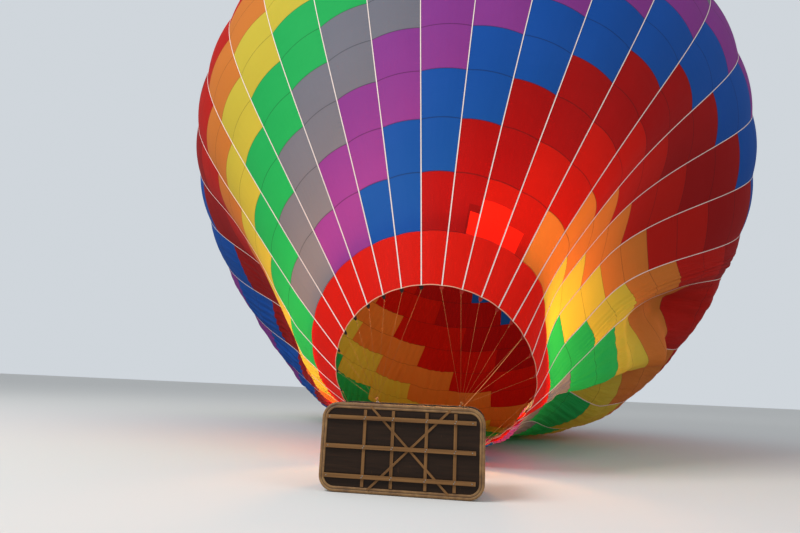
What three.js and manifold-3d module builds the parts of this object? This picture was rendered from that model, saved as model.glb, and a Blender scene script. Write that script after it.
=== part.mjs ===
import * as THREE from "three";
import { mergeVertices } from "three/addons/utils/BufferGeometryUtils.js";
import Module from "manifold-3d";

// Hot air balloon while it is being blown up. Millimetres, +Z up.
// The basket lies on its long side with its floor towards -Y, and the envelope leans up beyond it.
// The origin is the centre of the envelope's widest ring, where the lifting air holds it.

const wasm = await Module();
wasm.setup();

// Envelope
const goreCount = 32;
const goresPerGroup = 4;
const mouthRadius = 1900;
const coneAngle = THREE.MathUtils.degToRad(38.5);
const sideTurn = 1.0219e-12;
const slackHeight = 3400;
const skin = 10;
const bandDepth = 1150;
const rowDepth = 1390;
const rowCount = 20;
const axisRise = THREE.MathUtils.degToRad(35.6);
const seamGap = 0.2;
const ventOverlap = 260;
const ventDrop = 45;
const crownRingRadius = 160;

// Mouth centre beside, beyond and above the middle of the basket's floor line on the ground
const mouthSide = 220;
const mouthForward = 2830;
const mouthHeight = 1820;

// How the half-filled cloth differs from a round balloon. Each fold has its centre at an angle from
// the top, growing towards +X, and a reach to both sides, in degrees. It comes and goes between
// distances from the mouth. It sinks in by a share of the radius and turns the cloth by some degrees.
const folds = {
  rightHollow: { centre: 89, reach: 21, comes: [0, 3000], goes: [6000, 14500], sink: 0.26, turn: -2 },
  rightDrawnUp: { centre: 70, reach: 17, comes: [0, 2500], goes: [3000, 14500], sink: 0.06, turn: -6 },
  rightMouthDroop: { centre: 100, reach: 21, comes: [-1000, 0], goes: [0, 6000], sink: -0.05, turn: 7 },
  leftMouthDroop: { centre: 261, reach: 24, comes: [-1000, 0], goes: [0, 7000], sink: -0.02, turn: -8.5 },
  leftHollow: { centre: 258, reach: 22, comes: [2000, 8500], goes: [9000, 16000], sink: 0.22, turn: 0 },
  leftBunched: { centre: 242, reach: 24, comes: [3000, 7000], goes: [8000, 17000], sink: 0, turn: -12 },
  bottomDrawnLeft: { centre: 165, reach: 50, comes: [1000, 4000], goes: [17000, 27000], sink: -0.03, turn: 9 },
  pouchCrease: { centre: 106, reach: 6, comes: [2000, 6500], goes: [11000, 18000], sink: 0.01, turn: -5 },
  pouch: { centre: 131, reach: 14, comes: [4000, 8000], goes: [11000, 16000], sink: -0.035, turn: 3 },
  pouchHollow: { centre: 118, reach: 9, comes: [1500, 6000], goes: [8000, 13000], sink: 0.15, turn: 0 },
  pouchBag: { centre: 115, reach: 4.4, comes: [2000, 5000], goes: [9000, 11000], sink: -0.18, turn: 3 },
  pouchRecess: { centre: 110.5, reach: 3, comes: [6000, 9000], goes: [10000, 13000], sink: 0.14, turn: 0 },
  pouchTuck: { centre: 121, reach: 4.2, comes: [2000, 5000], goes: [9000, 13000], sink: 0.06, turn: -3 },
  underBag: { centre: 130, reach: 11, comes: [300, 2500], goes: [5500, 9000], sink: 0.165, turn: -2 },
  slackUnderside: { centre: 150, reach: 24, comes: [2000, 6000], goes: [7000, 12000], sink: 0.07, turn: 4 }
};

// A gore puffs out between its tapes by a share of its width, up to near the crown.
const gorePuff = 0.04;
const puffStops = 3900;
const puffEnds = 3400;

// The lowest cloth lies flat just above the ground, and bends into that over a soft height.
const groundRest = { gap: 80, soft: 250 };
const puffRest = { gap: 20, soft: 50 };

// Basket, lying on its long side
const basketWide = 2400;
const basketDeep = 1260;
const basketCorner = 230;
const basketMiddle = 635;
const wallThick = 30;
const floorStart = 45;
const floorThick = 18;
const wallEnd = 1130;
const rimTube = 38;
const runnerRows = [-400, 13, 422];
const battenSpots = [-663, -247, 247, 663];
const braceMiddle = 110;

// Load frame and burner
const frameHalfX = 750;
const frameHalfZ = 500;
const frameCorner = 130;
const frameTube = 19;
const frameY = 2170;
const gimbalHalfX = 620;
const gimbalHalfZ = 370;
const gimbalTube = 16;
const burnerPitch = THREE.MathUtils.degToRad(15);
const canRadius = 130;
const canLength = 330;
const canOffset = 165;
const pinRadius = 10;
const boreRadius = 10.6;

const balloon = new THREE.Group();
const envelope = new THREE.Group();
const ground = new THREE.Group();

function add(group, name, geometry, color, roughness, metalness) {
  const material = new THREE.MeshStandardMaterial({ color, roughness, metalness });
  const mesh = new THREE.Mesh(geometry, material);
  mesh.name = name;
  group.add(mesh);
  return mesh;
}

function bodyOf(points, triangles) {
  const geometry = new THREE.BufferGeometry();
  geometry.setAttribute("position", new THREE.Float32BufferAttribute(points, 3));
  geometry.setIndex(triangles);
  geometry.computeVertexNormals();
  return geometry;
}

function solid(geometry) {
  const bare = geometry.clone();
  bare.deleteAttribute("normal");
  bare.deleteAttribute("uv");
  const welded = mergeVertices(bare, 1e-3);
  return new wasm.Manifold(new wasm.Mesh({
    numProp: 3,
    vertProperties: new Float32Array(welded.attributes.position.array),
    triVerts: new Uint32Array(welded.index.array)
  }));
}

function joined(geometries) {
  let whole = solid(geometries[0]);
  for (const next of geometries.slice(1)) {
    whole = whole.add(solid(next));
  }
  return fromSolid(whole);
}

function carved(geometry, cutters) {
  let whole = solid(geometry);
  for (const cutter of cutters) {
    whole = whole.subtract(solid(cutter));
  }
  return fromSolid(whole);
}

function fromSolid(whole) {
  const mesh = whole.getMesh();
  return bodyOf(Array.from(mesh.vertProperties), Array.from(mesh.triVerts));
}

function box(x, y, z, atX, atY, atZ) {
  return new THREE.BoxGeometry(x, y, z).translate(atX, atY, atZ);
}

// A round bar from one point to another.
function bar(from, to, radius, sides) {
  const along = new THREE.Vector3().subVectors(to, from);
  const geometry = new THREE.CylinderGeometry(radius, radius, along.length(), sides);
  const turn = new THREE.Quaternion().setFromUnitVectors(new THREE.Vector3(0, 1, 0), along.clone().normalize());
  geometry.applyQuaternion(turn);
  return geometry.translate((from.x + to.x) / 2, (from.y + to.y) / 2, (from.z + to.z) / 2);
}

function roundedRect(halfX, halfZ, corner) {
  const shape = new THREE.Shape();
  shape.moveTo(halfX - corner, -halfZ);
  shape.absarc(halfX - corner, -halfZ + corner, corner, -Math.PI / 2, 0);
  shape.absarc(halfX - corner, halfZ - corner, corner, 0, Math.PI / 2);
  shape.absarc(-halfX + corner, halfZ - corner, corner, Math.PI / 2, Math.PI);
  shape.absarc(-halfX + corner, -halfZ + corner, corner, Math.PI, Math.PI * 1.5);
  return shape;
}

// A plate or a frame of rounded outline, its face across Y, from startY to endY.
function slab(outer, inner, startY, endY) {
  const shape = roundedRect(outer.x, outer.z, outer.corner);
  if (inner) {
    shape.holes.push(new THREE.Path(roundedRect(inner.x, inner.z, inner.corner).getPoints(5).reverse()));
  }
  const geometry = new THREE.ExtrudeGeometry(shape, { depth: endY - startY, bevelEnabled: false, curveSegments: 5 });
  return geometry.rotateX(Math.PI / 2).translate(0, endY, 0);
}

// A round tube bent into a closed rounded rectangle across Y.
function loopTube(halfX, halfZ, corner, radius, y, sides) {
  const stations = [];
  const steps = 5;
  for (const [cx, cz, start] of [[1, 1, 0], [-1, 1, 90], [-1, -1, 180], [1, -1, 270]]) {
    for (let i = 0; i <= steps; i += 1) {
      const angle = THREE.MathUtils.degToRad(start + 90 * i / steps);
      const out = { x: Math.cos(angle), z: Math.sin(angle) };
      const middle = { x: cx * (halfX - corner), z: cz * (halfZ - corner) };
      stations.push({ x: middle.x + corner * out.x, z: middle.z + corner * out.z, out });
    }
  }
  const points = [];
  for (const at of stations) {
    for (let k = 0; k < sides; k += 1) {
      const angle = 2 * Math.PI * k / sides;
      const reach = radius * Math.cos(angle);
      points.push(at.x + at.out.x * reach, y + radius * Math.sin(angle), at.z + at.out.z * reach);
    }
  }
  const triangles = [];
  for (let i = 0; i < stations.length; i += 1) {
    const next = (i + 1) % stations.length;
    for (let k = 0; k < sides; k += 1) {
      const beyond = (k + 1) % sides;
      const [a, b] = [i * sides + k, next * sides + k];
      const [c, d] = [next * sides + beyond, i * sides + beyond];
      triangles.push(a, c, b, a, d, c);
    }
  }
  return bodyOf(points, triangles);
}

// Every load tape carries the same pull along its whole length, so it turns faster where
// the ring is wide and the hot air above the slack height presses harder.
function profile() {
  const step = 20;
  const rings = [{ along: 0, radius: mouthRadius, height: 0, slope: coneAngle }];
  let { along, radius, height, slope } = rings[0];
  while (radius > crownRingRadius) {
    const bend = slope - sideTurn * (height - slackHeight) * radius * step / 2;
    const midHeight = height + Math.cos(bend) * step / 2;
    const midRadius = radius + Math.sin(bend) * step / 2;
    slope -= sideTurn * (midHeight - slackHeight) * midRadius * step;
    along += step;
    radius += Math.sin(bend) * step;
    height += Math.cos(bend) * step;
    rings.push({ along, radius, height, slope });
  }
  return rings;
}

const rings = profile();
const widest = rings.reduce((a, b) => (b.radius > a.radius ? b : a));

function ringAt(along) {
  const place = Math.min(Math.max(along / 20, 0), rings.length - 1.001);
  const low = rings[Math.floor(place)];
  const high = rings[Math.floor(place) + 1];
  const share = place - Math.floor(place);
  const mix = (key) => low[key] + (high[key] - low[key]) * share;
  return { radius: mix("radius"), height: mix("height") - widest.height, slope: mix("slope") };
}

function foldedAt(angle, along) {
  const degrees = THREE.MathUtils.radToDeg(angle);
  let sink = 0;
  let turn = 0;
  for (const fold of Object.values(folds)) {
    const off = THREE.MathUtils.euclideanModulo(degrees - fold.centre + 180, 360) - 180;
    const rise = THREE.MathUtils.clamp((along - fold.comes[0]) / (fold.comes[1] - fold.comes[0]), 0, 1);
    const left = 1 - THREE.MathUtils.smoothstep(along, fold.goes[0], fold.goes[1]);
    const weight = Math.exp(-((off / fold.reach) ** 2)) * rise * (2 - rise) * left;
    sink += fold.sink * weight;
    turn += fold.turn * weight;
  }
  return { sink, turned: angle + THREE.MathUtils.degToRad(turn) };
}

const groundLevel = -widest.height * Math.sin(axisRise) - mouthHeight;
const upwards = new THREE.Vector3(0, -Math.cos(axisRise), Math.sin(axisRise));

function restOnGround(at, { gap, soft }) {
  const above = at.dot(upwards) - groundLevel - gap - soft;
  if (above < 0) {
    at.addScaledVector(upwards, soft * Math.exp(above / soft) - soft - above);
  }
  return at;
}

function outerPoint(angle, along) {
  const ring = ringAt(along);
  const { sink, turned } = foldedAt(angle, along);
  const radius = ring.radius * (1 - sink);
  const at = new THREE.Vector3(radius * Math.sin(turned), -radius * Math.cos(turned), ring.height);
  return restOnGround(at, groundRest);
}

const goreAngle = 2 * Math.PI / goreCount;
const tapeAngle = (tape) => (tape - 0.5) * goreAngle;

function puffAt(angle, along) {
  const share = THREE.MathUtils.euclideanModulo(angle / goreAngle + 0.5, 1);
  const wholeLength = rings[rings.length - 1].along;
  const full = 1 - THREE.MathUtils.smoothstep(along, wholeLength - puffStops, wholeLength - puffEnds);
  return gorePuff * ringAt(along).radius * goreAngle * 4 * share * (1 - share) * full;
}

// A point of the envelope: angle 0 is the top, growing towards +X, and inset goes inwards.
function onEnvelope(angle, along, inset, sideways = 0) {
  const turned = angle + sideways / ringAt(along).radius;
  const at = outerPoint(turned, along);
  const across = outerPoint(turned + 0.004, along).sub(outerPoint(turned - 0.004, along));
  const start = Math.min(Math.max(along, 40), rings[rings.length - 1].along - 60);
  const up = outerPoint(turned, start + 20).sub(outerPoint(turned, start - 20));
  const outward = new THREE.Vector3().crossVectors(across, up).normalize();
  restOnGround(at.addScaledVector(outward, puffAt(turned, along)), puffRest);
  return at.addScaledVector(outward, -inset);
}

// A closed body between an outer and an inner grid of points.
function shellBody(columns, rows, closedRound, pointAt) {
  const points = [];
  for (const inner of [false, true]) {
    for (let i = 0; i < columns; i += 1) {
      for (let j = 0; j < rows; j += 1) {
        points.push(...pointAt(i, j, inner).toArray());
      }
    }
  }
  const place = (i, j, inner) => (inner ? columns * rows : 0) + (i % columns) * rows + j;
  const triangles = [];
  const quad = (a, b, c, d) => triangles.push(a, b, c, a, c, d);
  const spans = closedRound ? columns : columns - 1;
  for (let i = 0; i < spans; i += 1) {
    for (let j = 0; j < rows - 1; j += 1) {
      quad(place(i, j), place(i + 1, j), place(i + 1, j + 1), place(i, j + 1));
      triangles.push(place(i, j, true), place(i + 1, j + 1, true), place(i + 1, j, true));
      triangles.push(place(i, j, true), place(i, j + 1, true), place(i + 1, j + 1, true));
    }
    quad(place(i, 0), place(i, 0, true), place(i + 1, 0, true), place(i + 1, 0));
    const last = rows - 1;
    quad(place(i, last), place(i + 1, last), place(i + 1, last, true), place(i, last, true));
  }
  if (!closedRound) {
    for (let j = 0; j < rows - 1; j += 1) {
      const far = columns - 1;
      quad(place(0, j), place(0, j + 1), place(0, j + 1, true), place(0, j, true));
      quad(place(far, j), place(far, j, true), place(far, j + 1, true), place(far, j + 1));
    }
  }
  return bodyOf(points, triangles);
}

// A gore has two faces across, and four where the cloth hangs in a narrow pouch.
function facesAcross(gore) {
  return gore >= 8 && gore < 12 ? 4 : 2;
}

function stopsAcross(firstTape, lastTape) {
  const stops = [];
  for (let gore = firstTape; gore < lastTape; gore += 1) {
    for (let k = 0; k < facesAcross(gore); k += 1) {
      stops.push(gore + k / facesAcross(gore));
    }
  }
  return stops;
}

// A cloth tab at the end of each load tape, in the line of the mouth band.
function mouthTab(tape) {
  const angle = foldedAt(tapeAngle(tape), 0).turned;
  const edge = onEnvelope(tapeAngle(tape), 0, skin / 2);
  const inward = new THREE.Vector3(Math.sin(angle), -Math.cos(angle), 0).multiplyScalar(Math.sin(coneAngle));
  const down = inward.negate().add(new THREE.Vector3(0, 0, -Math.cos(coneAngle)));
  const across = new THREE.Vector3(Math.cos(angle), Math.sin(angle), 0);
  const face = new THREE.Vector3().crossVectors(down, across);
  const points = [];
  for (const [reach, half] of [[5, 34], [92, 14]]) {
    for (const [side, lift] of [[-1, -1], [1, -1], [1, 1], [-1, 1]]) {
      const at = edge.clone().addScaledVector(down, reach).addScaledVector(across, side * half);
      points.push(...at.addScaledVector(face, lift * 2).toArray());
    }
  }
  const triangles = [0, 2, 1, 0, 3, 2, 4, 5, 6, 4, 6, 7];
  for (const [a, b] of [[0, 1], [1, 2], [2, 3], [3, 0]]) {
    triangles.push(a, b, b + 4, a, b + 4, a + 4);
  }
  return bodyOf(points, triangles);
}

function tabTip(tape) {
  const ring = onEnvelope(tapeAngle(tape), 0, skin / 2);
  const angle = foldedAt(tapeAngle(tape), 0).turned;
  const reach = 84;
  ring.x -= Math.sin(angle) * Math.sin(coneAngle) * reach;
  ring.y += Math.cos(angle) * Math.sin(coneAngle) * reach;
  ring.z -= Math.cos(coneAngle) * reach;
  return ring;
}

const bandStops = [0, bandDepth - seamGap];
const bandAcross = stopsAcross(0, goreCount);
const band = shellBody(bandAcross.length, bandStops.length, true, (i, j, inner) =>
  onEnvelope(tapeAngle(bandAcross[i]), bandStops[j], inner ? skin : 0));
add(envelope, "mouth_band", band, 0xf01c08, 0.6, 0);

const goreColours = [0xaf0000, 0x0c52ac, 0x873c96, 0x7d8294, 0x20b65c, 0xd4c546, 0xd9823e, 0xfa1900];
for (let group = 0; group < goreCount / goresPerGroup; group += 1) {
  const [first, last] = [group * goresPerGroup, (group + 1) * goresPerGroup];
  const across = [...stopsAcross(first, last), last];
  const geometry = shellBody(across.length, rowCount + 1, false, (i, j, inner) => {
    const shift = i === 0 ? seamGap : i === across.length - 1 ? -seamGap : 0;
    const along = bandDepth + j * rowDepth + (j === 0 ? seamGap : 0);
    return onEnvelope(tapeAngle(across[i]), along, inner ? skin : 0, shift);
  });
  add(envelope, `gores_${group + 1}`, geometry, goreColours[group], 0.6, 0);
}

// The crown: tapes cross the round opening to a ring in the middle, above the vent panel.
const ventEdge = bandDepth + rowCount * rowDepth;
const topHeight = rings[rings.length - 1].height - widest.height;

function crownTape(tape) {
  const angle = tapeAngle(tape);
  const points = [];
  const stops = [ventEdge - 160, ventEdge + 30, ventEdge + 1200, rings[rings.length - 1].along];
  for (const stop of stops) {
    for (const [side, lift] of [[-1, -5], [1, -5], [1, -2], [-1, -2]]) {
      points.push(...onEnvelope(angle, stop, lift, side * 14).toArray());
    }
  }
  const triangles = [];
  const quad = (a, b, c, d) => triangles.push(a, b, c, a, c, d);
  quad(0, 3, 2, 1);
  for (let i = 0; i < stops.length - 1; i += 1) {
    for (let k = 0; k < 4; k += 1) {
      const next = (k + 1) % 4;
      quad(i * 4 + k, i * 4 + next, i * 4 + 4 + next, i * 4 + 4 + k);
    }
  }
  const last = (stops.length - 1) * 4;
  quad(last, last + 1, last + 2, last + 3);
  return bodyOf(points, triangles);
}

const crownPieces = [new THREE.TorusGeometry(crownRingRadius, 9, 6, 32).translate(0, 0, topHeight + 3)];
for (let tape = 0; tape < goreCount; tape += 1) {
  crownPieces.push(crownTape(tape));
}
add(envelope, "crown_ring", joined(crownPieces), 0xe6e2d8, 0.6, 0.1);

// The vent panel lies under the crown opening's edge and slides down the axis.
const panelStops = [ventEdge - ventOverlap, ventEdge + 500, ventEdge + 1100, ventEdge + 1700];
const panelTop = panelStops.map((stop) => {
  const ring = ringAt(stop);
  const radius = ring.radius + ventDrop * -Math.cos(ring.slope);
  return new THREE.Vector2(radius, ring.height - ventDrop);
});
const panelPoints = [
  new THREE.Vector2(0, topHeight - ventDrop - skin),
  ...panelTop.map((p) => new THREE.Vector2(p.x, p.y - skin)).reverse(),
  ...panelTop,
  new THREE.Vector2(0, topHeight - ventDrop)
];
const panel = new THREE.LatheGeometry(panelPoints, 32).rotateX(Math.PI / 2);
add(envelope, "vent_panel", panel, 0xaf0000, 0.6, 0);

envelope.rotation.x = axisRise - Math.PI / 2;
envelope.updateMatrixWorld(true);
balloon.add(envelope);

// Basket, burner and rigging are placed from the basket's floor line on the ground.

const mouthInWorld = new THREE.Vector3(0, 0, -widest.height).applyMatrix4(envelope.matrixWorld);
ground.position.set(-mouthSide, mouthInWorld.y - mouthForward, mouthInWorld.z - mouthHeight);
balloon.add(ground);

const basket = new THREE.Group();
basket.position.z = basketMiddle;
ground.add(basket);
ground.updateMatrixWorld(true);
const toBasket = basket.matrixWorld.clone().invert().multiply(envelope.matrixWorld);

const wallOuter = { x: basketWide / 2 - 20, z: basketDeep / 2 - 20, corner: basketCorner - 20 };
const wallInner = { x: wallOuter.x - wallThick, z: wallOuter.z - wallThick, corner: wallOuter.corner - wallThick };
add(basket, "basket_wall", slab(wallOuter, wallInner, floorStart + floorThick + 0.3, wallEnd), 0xb4501e, 0.8, 0);
add(basket, "basket_floor", slab(wallOuter, null, floorStart, floorStart + floorThick), 0x2a1c16, 0.7, 0);

const bandOuter = { x: basketWide / 2, z: basketDeep / 2, corner: basketCorner };
const bandInner = { x: wallOuter.x + 0.4, z: wallOuter.z + 0.4, corner: wallOuter.corner + 0.4 };
const lipInner = { x: wallOuter.x - 60, z: wallOuter.z - 60, corner: wallOuter.corner - 60 };
add(basket, "floor_edge_band", joined([
  slab(bandOuter, bandInner, floorStart - 12, 200),
  slab(bandOuter, lipInner, floorStart - 12, floorStart - 0.4)
]), 0xb08a58, 0.6, 0);

// Three runners carry the floor, with battens and a cross of braces behind them.
const runnerParts = [];
for (const z of runnerRows) {
  runnerParts.push(box(2200, 26, 58, -30, 13, z));
}
for (const x of battenSpots) {
  runnerParts.push(box(46, 19, 1080, braceMiddle + x, 35.1, 0));
}
for (const lean of [1, -1]) {
  const brace = new THREE.BoxGeometry(1650, 8.6, 34).rotateY(lean * Math.PI / 4);
  runnerParts.push(brace.translate(braceMiddle, 28.3, 5));
}
add(basket, "floor_runners", joined(runnerParts), 0xa9855a, 0.7, 0);

const rimLoop = loopTube(wallOuter.x - 15, wallOuter.z - 15, wallOuter.corner - 15, rimTube, wallEnd + rimTube + 0.3, 10);
add(basket, "basket_rim", rimLoop, 0x3a241a, 0.5, 0);

const bayWall = -420;
add(basket, "basket_partition", joined([
  box(30, 936, wallInner.z * 2 - 2, bayWall, 532, 0),
  box(wallInner.x - bayWall - 1, 936, 30, (wallInner.x - 1 + bayWall) / 2, 532, 0)
]), 0xb4501e, 0.8, 0);

const cylinderSpots = [[-970, 415], [-640, 415], [-970, -415], [-640, -415]];
cylinderSpots.forEach(([x, z], i) => {
  const outline = [[0, 0], [110, 0], [140, 20], [150, 60], [150, 760], [130, 815], [90, 840]];
  const shroud = [[90, 905], [82, 905], [82, 848], [0, 848]];
  const points = [...outline, ...shroud].map(([r, h]) => new THREE.Vector2(r, h));
  const tank = new THREE.LatheGeometry(points, 16).translate(x, floorStart + floorThick + 6, z);
  add(basket, `fuel_cylinder_${i + 1}`, tank, 0xb9bcc0, 0.35, 0.8);
});

// Load frame: a tube with a socket towards each pole and an eye plate at each corner.
const corners = [[1, 1], [-1, 1], [-1, -1], [1, -1]];
const cornerInset = frameCorner * (1 - Math.SQRT1_2);
const poleSpots = corners.map(([sx, sz]) => ({
  low: new THREE.Vector3(sx * 1066, 1000, sz * 496),
  high: new THREE.Vector3(sx * (frameHalfX - cornerInset), frameY, sz * (frameHalfZ - cornerInset)),
  sx,
  sz
}));

const frameParts = [loopTube(frameHalfX, frameHalfZ, frameCorner, frameTube, frameY, 8)];
for (const pole of poleSpots) {
  const back = new THREE.Vector3().subVectors(pole.low, pole.high).normalize();
  pole.end = pole.high.clone().addScaledVector(back, 110);
  frameParts.push(bar(pole.high, pole.end, 22, 8));
}

// The pull of each corner's wires goes to the middle of its eight tab tips.
const wireSets = corners.map(([sx, sz], i) => {
  const firstTape = [1, 25, 17, 9][i];
  const tips = [];
  const tabs = [];
  for (let k = 0; k < goreCount / 4; k += 1) {
    const tape = (firstTape + k) % goreCount;
    tips.push(tabTip(tape).applyMatrix4(toBasket));
    tabs.push(mouthTab(tape).applyMatrix4(toBasket));
  }
  const middle = tips.reduce((sum, tip) => sum.add(tip), new THREE.Vector3()).divideScalar(tips.length);
  const corner = poleSpots[i].high;
  const pull = new THREE.Vector3().subVectors(middle, corner).normalize();
  const face = new THREE.Vector3(-sz * pull.z, 0, sz * pull.x).normalize();
  const side = new THREE.Vector3().crossVectors(pull, face);
  return { tips, tabs, corner, pull, face, side };
});

function placedAlong(geometry, set, distance) {
  const basis = new THREE.Matrix4().makeBasis(set.pull, set.face, set.side);
  const at = set.corner.clone().addScaledVector(set.pull, distance);
  return geometry.applyMatrix4(basis.setPosition(at));
}

for (const set of wireSets) {
  const plate = placedAlong(new THREE.BoxGeometry(76, 10, 56), set, 42);
  const hole = placedAlong(new THREE.CylinderGeometry(15, 15, 20, 10), set, 52);
  frameParts.push(carved(plate, [hole]));
}
for (const side of [1, -1]) {
  const boss = new THREE.CylinderGeometry(24, 24, 44, 16).rotateZ(Math.PI / 2);
  const bore = new THREE.CylinderGeometry(boreRadius, boreRadius, 60, 16).rotateZ(Math.PI / 2);
  const at = [side * (frameHalfX - frameTube - 18), frameY, 0];
  frameParts.push(carved(boss.translate(...at), [bore.translate(at[0] - side * 12, at[1], at[2])]));
}
add(basket, "load_frame", joined(frameParts), 0xaeb2b6, 0.3, 0.9);

poleSpots.forEach((pole, i) => {
  const along = new THREE.Vector3().subVectors(pole.end, pole.low).normalize();
  const top = pole.end.clone().addScaledVector(along, -1);
  add(basket, `pole_${i + 1}`, bar(pole.low, top, 34, 12), 0x241f1e, 0.6, 0);
});

// A steel ring joins each eye plate to its eight flying wires.
function linkRing() {
  const half = 34;
  const radius = 22;
  const points = [];
  for (let i = 0; i < 16; i += 1) {
    const angle = 2 * Math.PI * (i + 0.5) / 16;
    const shift = Math.cos(angle) >= 0 ? half : -half;
    points.push([shift + radius * Math.cos(angle), radius * Math.sin(angle), Math.cos(angle), Math.sin(angle)]);
  }
  const sides = 6;
  const vertices = [];
  for (const [x, y, nx, ny] of points) {
    for (let k = 0; k < sides; k += 1) {
      const angle = 2 * Math.PI * k / sides;
      const reach = 6 * Math.cos(angle);
      vertices.push(x + nx * reach, y + ny * reach, 6 * Math.sin(angle));
    }
  }
  const triangles = [];
  for (let i = 0; i < points.length; i += 1) {
    const next = (i + 1) % points.length;
    for (let k = 0; k < sides; k += 1) {
      const beyond = (k + 1) % sides;
      const [a, b] = [i * sides + k, next * sides + k];
      const [c, d] = [next * sides + beyond, i * sides + beyond];
      triangles.push(a, b, c, a, c, d);
    }
  }
  return bodyOf(vertices, triangles);
}

wireSets.forEach((set, i) => {
  add(basket, `karabiner_${i + 1}`, placedAlong(linkRing(), set, 52 + 56), 0xb4b8bc, 0.25, 0.9);
  const eye = new THREE.TorusGeometry(16, 4, 6, 12).rotateX(Math.PI / 2);
  const start = set.corner.clone().addScaledVector(set.pull, 52 + 112 + 4 + 16);
  const wires = [placedAlong(eye, set, 52 + 112 + 4)];
  for (const tip of set.tips) {
    wires.push(bar(start, tip, 3, 4));
  }
  add(basket, `flying_wires_${i + 1}`, joined([...wires, ...set.tabs]), 0x8c8f92, 0.4, 0.8);
});

// Gimbal: the outer frame pitches in the load frame, and the burner rolls in the outer frame.
const gimbal = new THREE.Group();
gimbal.position.y = frameY;
gimbal.rotation.x = burnerPitch;
basket.add(gimbal);

const gimbalParts = [loopTube(gimbalHalfX, gimbalHalfZ, 90, gimbalTube, 0, 8)];
for (const side of [1, -1]) {
  const reach = frameHalfX - frameTube - 6 - gimbalHalfX;
  const pin = new THREE.CylinderGeometry(pinRadius, pinRadius, reach, 16).rotateZ(Math.PI / 2);
  gimbalParts.push(pin.translate(side * (gimbalHalfX + reach / 2), 0, 0));
  const boss = new THREE.CylinderGeometry(22, 22, 40, 16).rotateX(Math.PI / 2);
  const bore = new THREE.CylinderGeometry(boreRadius, boreRadius, 60, 16).rotateX(Math.PI / 2);
  const at = side * (gimbalHalfZ - gimbalTube - 14);
  gimbalParts.push(carved(boss.translate(0, 0, at), [bore.translate(0, 0, at - side * 12)]));
}
add(gimbal, "gimbal_frame", joined(gimbalParts), 0x9da1a5, 0.3, 0.9);

const crossReach = gimbalHalfZ - gimbalTube - 4;
add(gimbal, "burner_frame", joined([
  new THREE.CylinderGeometry(pinRadius, pinRadius, crossReach * 2, 16).rotateX(Math.PI / 2),
  box(40, 30, 600, 0, 0, 0),
  box(620, 14, 90, 0, -8, 0),
  box(44, 30, 60, canOffset, -30, 0),
  box(44, 30, 60, -canOffset, -30, 0)
]), 0x5d6166, 0.4, 0.8);

for (const [name, side] of [["left", -1], ["right", 1]]) {
  const x = side * canOffset;
  const outline = [
    [20, 0], [96, 0], [118, 52], [canRadius, 102], [canRadius, canLength],
    [127, canLength], [127, 103], [115, 54], [93, 3], [20, 3]
  ];
  const canPoints = outline.map(([r, h]) => new THREE.Vector2(r, h));
  canPoints.push(canPoints[0].clone());
  const can = new THREE.LatheGeometry(canPoints, 20).translate(x, -0.7, 0);
  add(gimbal, `burner_can_${name}`, can, 0xc2c4c6, 0.3, 0.9);
  const turns = 5;
  const coilPoints = [];
  for (let i = 0; i <= turns * 10; i += 1) {
    const angle = 2 * Math.PI * i / 10;
    const radius = 86 + 29 * i / (turns * 10);
    coilPoints.push(new THREE.Vector3(x + radius * Math.cos(angle), 84 + 44 * i / 10, radius * Math.sin(angle)));
  }
  const coilPath = new THREE.CatmullRomCurve3(coilPoints);
  const section = new THREE.Shape();
  section.absarc(0, 0, 8, 0, 2 * Math.PI);
  const coil = new THREE.ExtrudeGeometry(section, { steps: turns * 10, extrudePath: coilPath, curveSegments: 3, bevelEnabled: false });
  add(gimbal, `burner_coil_${name}`, coil, 0xb08d6a, 0.3, 0.9);
  const valve = joined([
    box(70, 46, 50, x, -68.4, 0),
    box(18, 16, 150, x, -72, -60)
  ]);
  add(gimbal, `burner_valve_${name}`, valve, 0xb49a52, 0.35, 0.8);
}

export default balloon;
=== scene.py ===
import math
import bpy
import numpy as np
from mathutils import Matrix, Vector


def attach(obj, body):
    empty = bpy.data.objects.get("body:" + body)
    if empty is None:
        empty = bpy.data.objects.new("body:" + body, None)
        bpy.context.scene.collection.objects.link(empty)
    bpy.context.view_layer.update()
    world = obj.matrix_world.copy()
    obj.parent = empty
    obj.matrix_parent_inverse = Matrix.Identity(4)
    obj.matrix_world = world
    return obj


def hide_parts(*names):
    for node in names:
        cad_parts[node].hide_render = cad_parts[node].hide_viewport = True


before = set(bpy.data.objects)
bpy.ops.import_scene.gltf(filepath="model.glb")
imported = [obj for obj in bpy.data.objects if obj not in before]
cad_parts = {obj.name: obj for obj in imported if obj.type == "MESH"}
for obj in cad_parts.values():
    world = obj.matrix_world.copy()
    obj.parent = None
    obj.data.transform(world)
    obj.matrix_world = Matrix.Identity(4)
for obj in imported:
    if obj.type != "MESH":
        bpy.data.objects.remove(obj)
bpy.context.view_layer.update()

print("frame loaded")

# Everything is in metres. The origin is the middle of the envelope's widest ring.
basketMiddle = Vector((-0.22, -14.870334, -9.805032))
groundHeight = -10.440032


# The matrix that turns x, y and z into three ways and moves them to a place.
def placedAlong(first, second, third, place):
    matrix = Matrix((first, second, third)).transposed().to_4x4()
    matrix.translation = place
    return matrix


cameraSetup = {
    "at": (0.846, -23.566, -8.96),
    "turn": 7.86,
    "tilt": 11.93,
    "roll": 2.58,
    "focalPixels": 584.3,
    "photoWidth": 800,
    "sensorWidth": 36,
}


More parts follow.
